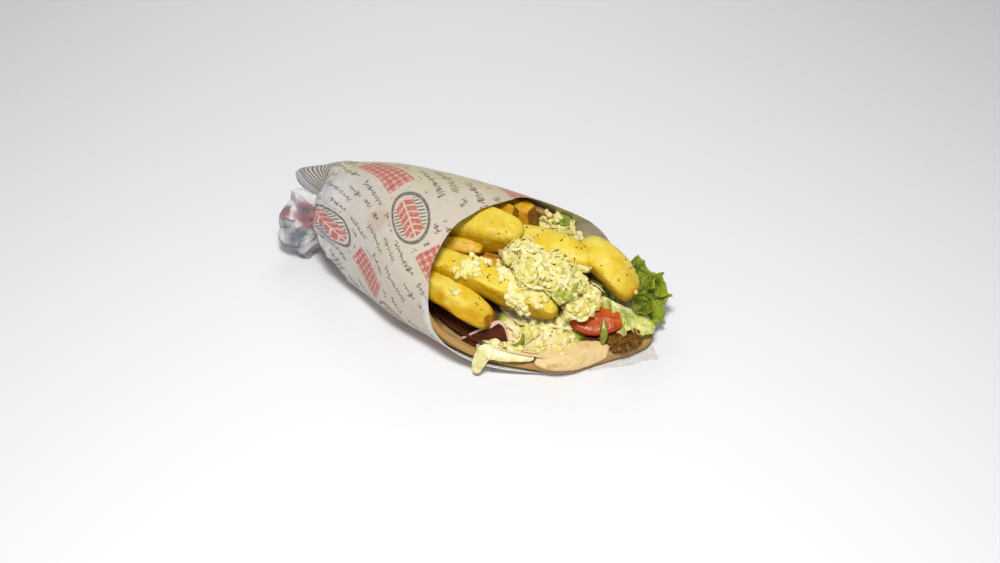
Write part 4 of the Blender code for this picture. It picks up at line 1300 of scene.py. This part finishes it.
def skinned(bodies):
    """One closed skin round several overlapping bodies, with its normals."""
    spots, faces = merged(bodies)
    mesh = bpy.data.meshes.new("lumps")
    mesh.from_pydata(spots.tolist(), [], faces)
    obj = bpy.data.objects.new("lumps", mesh)
    bpy.context.scene.collection.objects.link(obj)
    remesh = obj.modifiers.new("skin", "REMESH")
    remesh.mode = "VOXEL"
    remesh.voxel_size = HEAP_VOXEL
    made = obj.evaluated_get(bpy.context.evaluated_depsgraph_get()).data
    spots, away = values_of(made.vertices, "co", 3), values_of(made.vertices, "normal", 3)
    faces = [list(face.vertices) for face in made.polygons]
    bpy.data.objects.remove(obj)
    return spots, away, faces


def heap_lump(centre, radius):
    a, b, c = sphere_grid(50, 30)
    ball = np.stack([a, b, c * HEAP_FLAT], -1) * radius
    spots = ball + np.array(centre)
    return lofted(spots + ball * 0.3 * bumps(spots, 7, 4.0)[..., None])


cheese_finish = tinted_bits("crumbled_cheese", CHEESE_SHADES, 0.15)
heap_spots, heap_out, heap_faces = skinned([heap_lump(*lump) for lump in HEAP_LUMPS])
furrows = 1.2 - 5.4 * np.abs(bumps(heap_spots, 9.0, 2.0)) + 1.2 * (0.5 - np.abs(bumps(heap_spots, 3.4, 5.0)))
heap_spots = heap_spots + heap_out * furrows[:, None]
# The core is tinted darker and greener than the crumbs strewn on it: painted shade between them
heap_core = piece("cheese_core", (heap_spots, heap_faces), cheese_finish, ["feta_heap"],
                  {"tint": 0.3 + 0.3 * bumps(heap_spots, 4.0, 3.0)})


# Loose crumbs, shreds and scraps
# What was scattered by hand: angular crumbs of cheese, curved shreds of cabbage and torn
# scraps of lettuce, each one its own closed shape, strewn over the core that carries it.

# Crumbs that fell on a wedge: the wedge, how many per square centimetre, and their clusters
SPILLS = (
    ("long", 48, ((15.4, -29.7, 46.4), 6), ((20.7, -25.5, 48.3), 4.5), ((19.1, -16.0, 46.7), 4),
     ((46.6, -28.2, 37.9), 6.5), ((50.3, -29.0, 29.2), 5), ((36.0, -18.0, 44.0), 6),
     ((44.0, -22.0, 43.0), 7), ((51.0, -22.0, 40.0), 7), ((57.0, -20.0, 36.0), 6)),
    ("under", 45, ((23, -5, 38), 3), ((31, -6, 37), 6)),
    ("near", 36, ((15.5, -39.9, 39.5), 3.5), ((17.0, -28.0, 38.0), 3)),
    ("mid", 18, ((71.0, 9.0, 42.0), 4), ((60.0, 12.0, 34.0), 3)),
    ("end", 10, ((100.0, 15.0, 30.0), 4)),
)
# Patches of salad that cling to the far side of the pita, and the heap's and the gap's own
# clusters: place and radius
BACK_PATCHES = (
    ((33, 43, 42), 8), ((40, 43, 38), 7), ((48, 42, 36), 8), ((57, 39, 33), 8), ((66, 33, 30), 6),
)
SUMMIT = (((40, 1, 48), 14), ((50, -4, 50), 12), ((62, -6, 44), 9))
HEAP_FOOT = (((58, -8, 43), 5), ((68, -12, 38), 7))
GAP_BEFORE = (((69, -12, 19), 7), ((63, -18, 19), 5))
# How far a bit may turn about its own axes: any way, or as it lies flat
TUMBLED = ((0.0, 0.0, 0.0), (6.28, 6.28, 6.28))
LYING = ((-0.35, -0.35, 0.0), (0.35, 0.35, 6.28))
CRUMB_KINDS = 9
SHRED_KINDS = 9
SCRAP_KINDS = 6
# Each scattering: how many per square centimetre, the smallest and largest size of its bits,
# how many millimetres they are lifted, its seed, and the span of their tints
SCATTERED = {
    "heap_crumbs": (46.0, (0.9, 4.0), 0.5, 1, (0.35, 1.0)),
    "heap_shreds": (9.0, (0.8, 1.9), 1.9, 2, (0.55, 1.0)),
    "heap_scraps": (5.0, (0.7, 1.5), 2.2, 6, (0.36, 0.58)),
    "bed_shreds": (4.0, (1.2, 2.2), 0.9, 3, (0.45, 0.95)),
    "bed_scraps": (1.6, (0.7, 1.5), 1.0, 4, (0.15, 0.5)),
    "bed_crumbs": (8.0, (1.2, 5.4), 1.0, 5, (0.6, 1.0)),
    "gap_crumbs": (30.0, (1.6, 4.6), 2.2, 19, (0.6, 1.0)),
    "back_crumbs": (34.0, (1.3, 4.6), 1.6, 7, (0.4, 1.0)),
    "back_scraps": (7.0, (0.8, 1.5), 2.6, 8, (0.12, 0.5)),
    "back_shreds": (9.0, (0.9, 1.8), 2.8, 9, (0.4, 0.85)),
    "patty_crumbs": (30.0, (1.0, 4.0), 0.2, 18, (0.0, 1.0)),
}
SPILL_SIZES = (1.2, 4.2)
SPILL_LIFT = 0.6
SPILL_SEED = 10
SPILL_TINTS = (0.5, 1.0)


def kit_of(name, bodies):
    """A collection of a few small bits, to strew copies of."""
    kit = bpy.data.collections.new(name)
    for number, (spots, faces) in enumerate(bodies):
        mesh = bpy.data.meshes.new("%s_%02d" % (name, number))
        mesh.from_pydata((spots * MILLIMETRE).tolist(), [], faces)
        kit.objects.link(bpy.data.objects.new(mesh.name, mesh))
    return kit


def crumb(chance):
    """A broken bit of cheese, cut by chance planes."""
    a, b, c = sphere_grid(9, 6)
    spots, faces = lofted(np.stack([a, b, c], -1))
    ways = chance.normal(size=(7, 3))
    ways /= np.linalg.norm(ways, axis=1, keepdims=True)
    depth = chance.uniform(0.6, 0.95, 7)
    facing = np.maximum(spots @ ways.T, 0.05)
    reach = np.minimum((depth / facing).min(axis=1), 1.0)
    return spots * reach[:, None] * 0.55 * chance.uniform(0.8, 1.2, 3), faces


def shred(chance, length=6.0, width=1.5, thick=0.35):
    """A thin curved and twisted strand."""
    bend, rise = chance.uniform(-0.18, 0.18, 2) * length
    rise = abs(rise)
    path = [(-length / 2, 0, 0), (-length / 6, bend, rise * 0.4),
            (length / 6, bend * 0.7, rise * 0.5), (length / 2, -bend * 0.4, 0)]
    width = width * chance.uniform(0.7, 1.4)
    flat = (0, chance.uniform(-0.5, 0.5), 1)
    return strip(path, width, thick, 0.4, 0.5, flat, 0.1, 9, 6, chance.uniform(0, 9))[0]


def scrap(chance):
    """A torn bit of leaf, about 5 mm across."""
    wide, deep = chance.uniform(2.0, 3.2, 2)
    root = [(-wide, -deep * 0.5, 0), (0, -deep, 0.3), (wide, -deep * 0.4, 0)]
    rim = [(-wide * 0.8, deep * 0.6, 0), (0, deep, 0.4), (wide * 0.9, deep * 0.5, 0.2)]
    seed = chance.uniform(0, 9)

    def wave(places, out, across):
        ragged = 0.5 * bumps(places, 1.5, seed + 3)
        return np.stack([ragged, ragged, 1.1 * bumps(places, 2.2, seed)], -1)

    return sheet_between(root, rim, 0.4, 12, 8, wave)[0]


chance = np.random.default_rng(11)
crumb_kit = kit_of("crumb", [crumb(chance) for _ in range(CRUMB_KINDS)])
shred_kit = kit_of("shred", [shred(chance) for _ in range(SHRED_KINDS)])
scrap_kit = kit_of("scrap", [scrap(chance) for _ in range(SCRAP_KINDS)])


def strewing_tree(name, finish, turns):
    """A node tree that strews a kit over the parts of a surface that its strew value marks."""
    tree = bpy.data.node_groups.new(name, "GeometryNodeTree")
    interface = tree.interface
    interface.new_socket("Geometry", in_out="INPUT", socket_type="NodeSocketGeometry")
    interface.new_socket("Geometry", in_out="OUTPUT", socket_type="NodeSocketGeometry")
    interface.new_socket("Kit", in_out="INPUT", socket_type="NodeSocketCollection")
    for label in ("Per square metre", "Smallest", "Largest", "Lift", "Tint from", "Tint to"):
        interface.new_socket(label, in_out="INPUT", socket_type="NodeSocketFloat")
    interface.new_socket("Seed", in_out="INPUT", socket_type="NodeSocketInt")

    def add(kind, settings, inputs):
        """The outputs of a new node, from its type, its settings and its sockets."""
        made = tree.nodes.new(kind)
        for key, value in settings.items():
            setattr(made, key, value)
        for key, value in inputs.items():
            if isinstance(value, bpy.types.NodeSocket):
                tree.links.new(value, made.inputs[key])
            else:
                made.inputs[key].default_value = value
        return made.outputs

    given = add("NodeGroupInput", {}, {})

    def between(least, most, seed):
        """A chance number between two of the tree's inputs."""
        span = {2: given[least], 3: given[most], "Seed": seed}
        return add("FunctionNodeRandomValue", {"data_type": "FLOAT"}, span)[1]

    marked = add("GeometryNodeInputNamedAttribute", {"data_type": "FLOAT"}, {"Name": "strew"})[0]
    density = add("ShaderNodeMath", {"operation": "MULTIPLY"}, {0: given["Per square metre"], 1: marked})[0]
    spread = add("GeometryNodeDistributePointsOnFaces", {"distribute_method": "RANDOM"},
                 {"Mesh": given["Geometry"], "Density": density, "Seed": given["Seed"]})
    lift = add("ShaderNodeVectorMath", {"operation": "SCALE"},
               {0: spread["Normal"], "Scale": given["Lift"]})[0]
    raised = add("GeometryNodeSetPosition", {}, {"Geometry": spread["Points"], "Offset": lift})[0]
    tumble = add("FunctionNodeRandomValue", {"data_type": "FLOAT_VECTOR"},
                 {0: turns[0], 1: turns[1], "Seed": 3})[0]
    facing = add("FunctionNodeRotateRotation", {"rotation_space": "LOCAL"},
                 {0: spread["Rotation"], 1: tumble})[0]
    bits = add("GeometryNodeCollectionInfo", {},
               {"Collection": given["Kit"], "Separate Children": True, "Reset Children": True})[0]
    placed = add("GeometryNodeInstanceOnPoints", {},
                 {"Points": raised, "Instance": bits, "Pick Instance": True,
                  "Rotation": facing, "Scale": between("Smallest", "Largest", 5)})[0]
    stored = add("GeometryNodeStoreNamedAttribute", {"data_type": "FLOAT", "domain": "INSTANCE"},
                 {"Geometry": placed, "Name": "tint", "Value": between("Tint from", "Tint to", 7)})[0]
    real = add("GeometryNodeRealizeInstances", {}, {0: stored})[0]
    dressed = add("GeometryNodeSetMaterial", {}, {"Geometry": real, "Material": finish})[0]
    add("NodeGroupOutput", {}, {0: dressed})
    return tree


def strewn(name, surface, where, bits, per_cm2, sizes, lift, seed, tints=(0.0, 1.0)):
    """A scattering on a surface, as dense as where says for each of its points."""
    tree, slot, kit = bits
    obj = surface.copy()
    obj.data = surface.data.copy()
    obj.parent = None
    obj.data.attributes.new("strew", "FLOAT", "POINT").data.foreach_set("value", where)
    bpy.context.scene.collection.objects.link(obj)
    change = obj.modifiers.new(name, "NODES")
    change.node_group = tree
    sockets = {item.name: item.identifier for item in tree.interface.items_tree if item.in_out == "INPUT"}
    given = {"Kit": kit, "Per square metre": per_cm2 * 1e4, "Smallest": sizes[0], "Largest": sizes[1],
             "Lift": lift * MILLIMETRE, "Tint from": tints[0], "Tint to": tints[1], "Seed": seed}
    for label, value in given.items():
        change[sockets[label]] = value
    made = bpy.data.meshes.new_from_object(obj.evaluated_get(bpy.context.evaluated_depsgraph_get()))
    bpy.data.objects.remove(obj)
    made.name = name
    loose = bpy.data.objects.new(name, made)
    bpy.context.scene.collection.objects.link(loose)
    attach(loose, "root")


def facing_up(obj, least):
    """1 at each point of a mesh that faces up by at least so much, else 0."""
    return (values_of(obj.data.vertices, "normal", 3)[:, 2] > least).astype(float)


def near_places(obj, *clusters):
    """1 at the points of a mesh close to any of several (place, radius) clusters, fading out."""
    spots = values_of(obj.data.vertices, "co", 3) / MILLIMETRE - SHIFT
    where = np.zeros(len(spots))
    for place, radius in clusters:
        away = np.linalg.norm(spots - np.array(place), axis=1) + 2.0 * bumps(spots, 4.0, radius)
        where = np.maximum(where, ramp(-away, -radius, 0.4 * radius))
    return where


# Each kind of loose bits: its tree, its slot and its kit
tumbled_cheese = strewing_tree("tumbled_cheese", cheese_finish, TUMBLED)
lying_cheese = strewing_tree("lying_cheese", cheese_finish, LYING)
lying_salad = strewing_tree("lying_salad", salad_finish, LYING)
cheese_crumbs = (tumbled_cheese, "feta_and_cabbage", crumb_kit)
cabbage_shreds = (lying_cheese, "feta_and_cabbage", shred_kit)
salad_shreds = (lying_salad, "shredded_salad", shred_kit)
leaf_scraps = (lying_salad, "shredded_salad", scrap_kit)
crust_crumbs = (strewing_tree("tumbled_patty", patty_finish, TUMBLED), "vegetable_patty", crumb_kit)

# The heap, and its top and foot
heap_where = facing_up(heap_core, -0.3)
heaped = heap_where * (0.3 + near_places(heap_core, *SUMMIT))
foot = near_places(heap_core, *HEAP_FOOT)
# The bed: behind the wedges, before them, at the open end and in the gap before the slices
bed_x, bed_y = bed_body[0][:, 0], bed_body[0][:, 1]
behind = bed_top * ramp(bed_y, 22, 5)
before = bed_top * ramp(bed_x, 36, 6) * ramp(-bed_y, 8, 8) * ramp(-bed_x, -80, 4)
mouth = bed_top * ramp(bed_x, 74, 6) * ramp(bed_y, 0, 4)
gap = near_places(bed_core, *GAP_BEFORE)
# The inside of the pita's far side
inside_far = values_of(pita.data.vertices, "normal", 3)[:, 1] < -0.15
clinging = near_places(pita, *BACK_PATCHES) * inside_far
for name, surface, where, bits in (
    ("heap_crumbs", heap_core, heap_where, cheese_crumbs),
    ("heap_shreds", heap_core, heaped, cabbage_shreds),
    ("heap_scraps", heap_core, foot, leaf_scraps),
    ("bed_shreds", bed_core, behind * 1.2 + before * 0.6 + mouth * 0.4, salad_shreds),
    ("bed_scraps", bed_core, behind + mouth * 0.3, leaf_scraps),
    ("bed_crumbs", bed_core, behind * 1.4 + before * 1.2 + mouth * 0.3, cheese_crumbs),
    ("gap_crumbs", bed_core, gap, cheese_crumbs),
    ("back_crumbs", pita, clinging, cheese_crumbs),
    ("back_scraps", pita, clinging, leaf_scraps),
    ("back_shreds", pita, clinging, salad_shreds),
    ("patty_crumbs", patty, facing_up(patty, -0.2), crust_crumbs),
):
    strewn(name, surface, where, bits, *SCATTERED[name])
for number, (name, per_cm2, *clusters) in enumerate(SPILLS):
    spilled = bpy.data.objects["fried_wedge_" + name]
    strewn("spilled_on_" + name, spilled, near_places(spilled, *clusters), cheese_crumbs,
           per_cm2, SPILL_SIZES, SPILL_LIFT, SPILL_SEED + number, SPILL_TINTS)


# Pepper and herbs
# Ground black pepper and dried herbs were shaken over the wedges and the cheese: flecks one or
# two millimetres long, dark brown or dark green, that stick where they fell.

HERB_BROWN = (0.030, 0.022, 0.006)
HERB_GREEN = (0.045, 0.055, 0.010)
FLECK_KINDS = 4
# How many per square centimetre, their sizes, how far they are lifted, and their first seed
WEDGE_FLECKS = (4.5, (0.7, 2.0), 0.08)
HEAP_FLECKS = (1.6, (0.8, 2.2), 2.0)
FLECK_SEED = 20
HEAP_FLECK_SEED = 30


def dried_herbs():
    herb = Finish("dried_herbs", Specular_IOR_Level=0.2, Roughness=0.8)
    cloud = herb.place.noise(500.0, 2.0, 0.5)
    return herb.done(herb.flat(HERB_BROWN).tinted(cloud.within(0.45, 0.60), HERB_GREEN))


fleck_kit = kit_of("fleck", [shred(chance, 1.0, 0.36, 0.2) for _ in range(FLECK_KINDS)])
lying_flecks = strewing_tree("lying_flecks", dried_herbs(), LYING)
wedge_flecks = (lying_flecks, "fried_potato", fleck_kit)
heap_flecks = (lying_flecks, "feta_and_cabbage", fleck_kit)
for number, name in enumerate(("big", "mid", "end", "long", "near")):
    wedge_piece = bpy.data.objects["fried_wedge_" + name]
    clumped = facing_up(wedge_piece, 0.2) * np.clip(bumps(wedges[name][0], 14, number) * 3, 0, 1)
    strewn("flecks_" + name, wedge_piece, clumped, wedge_flecks, *WEDGE_FLECKS, FLECK_SEED + number)
strewn("flecks_heap", heap_core, facing_up(heap_core, 0.4), heap_flecks, *HEAP_FLECKS, HEAP_FLECK_SEED)
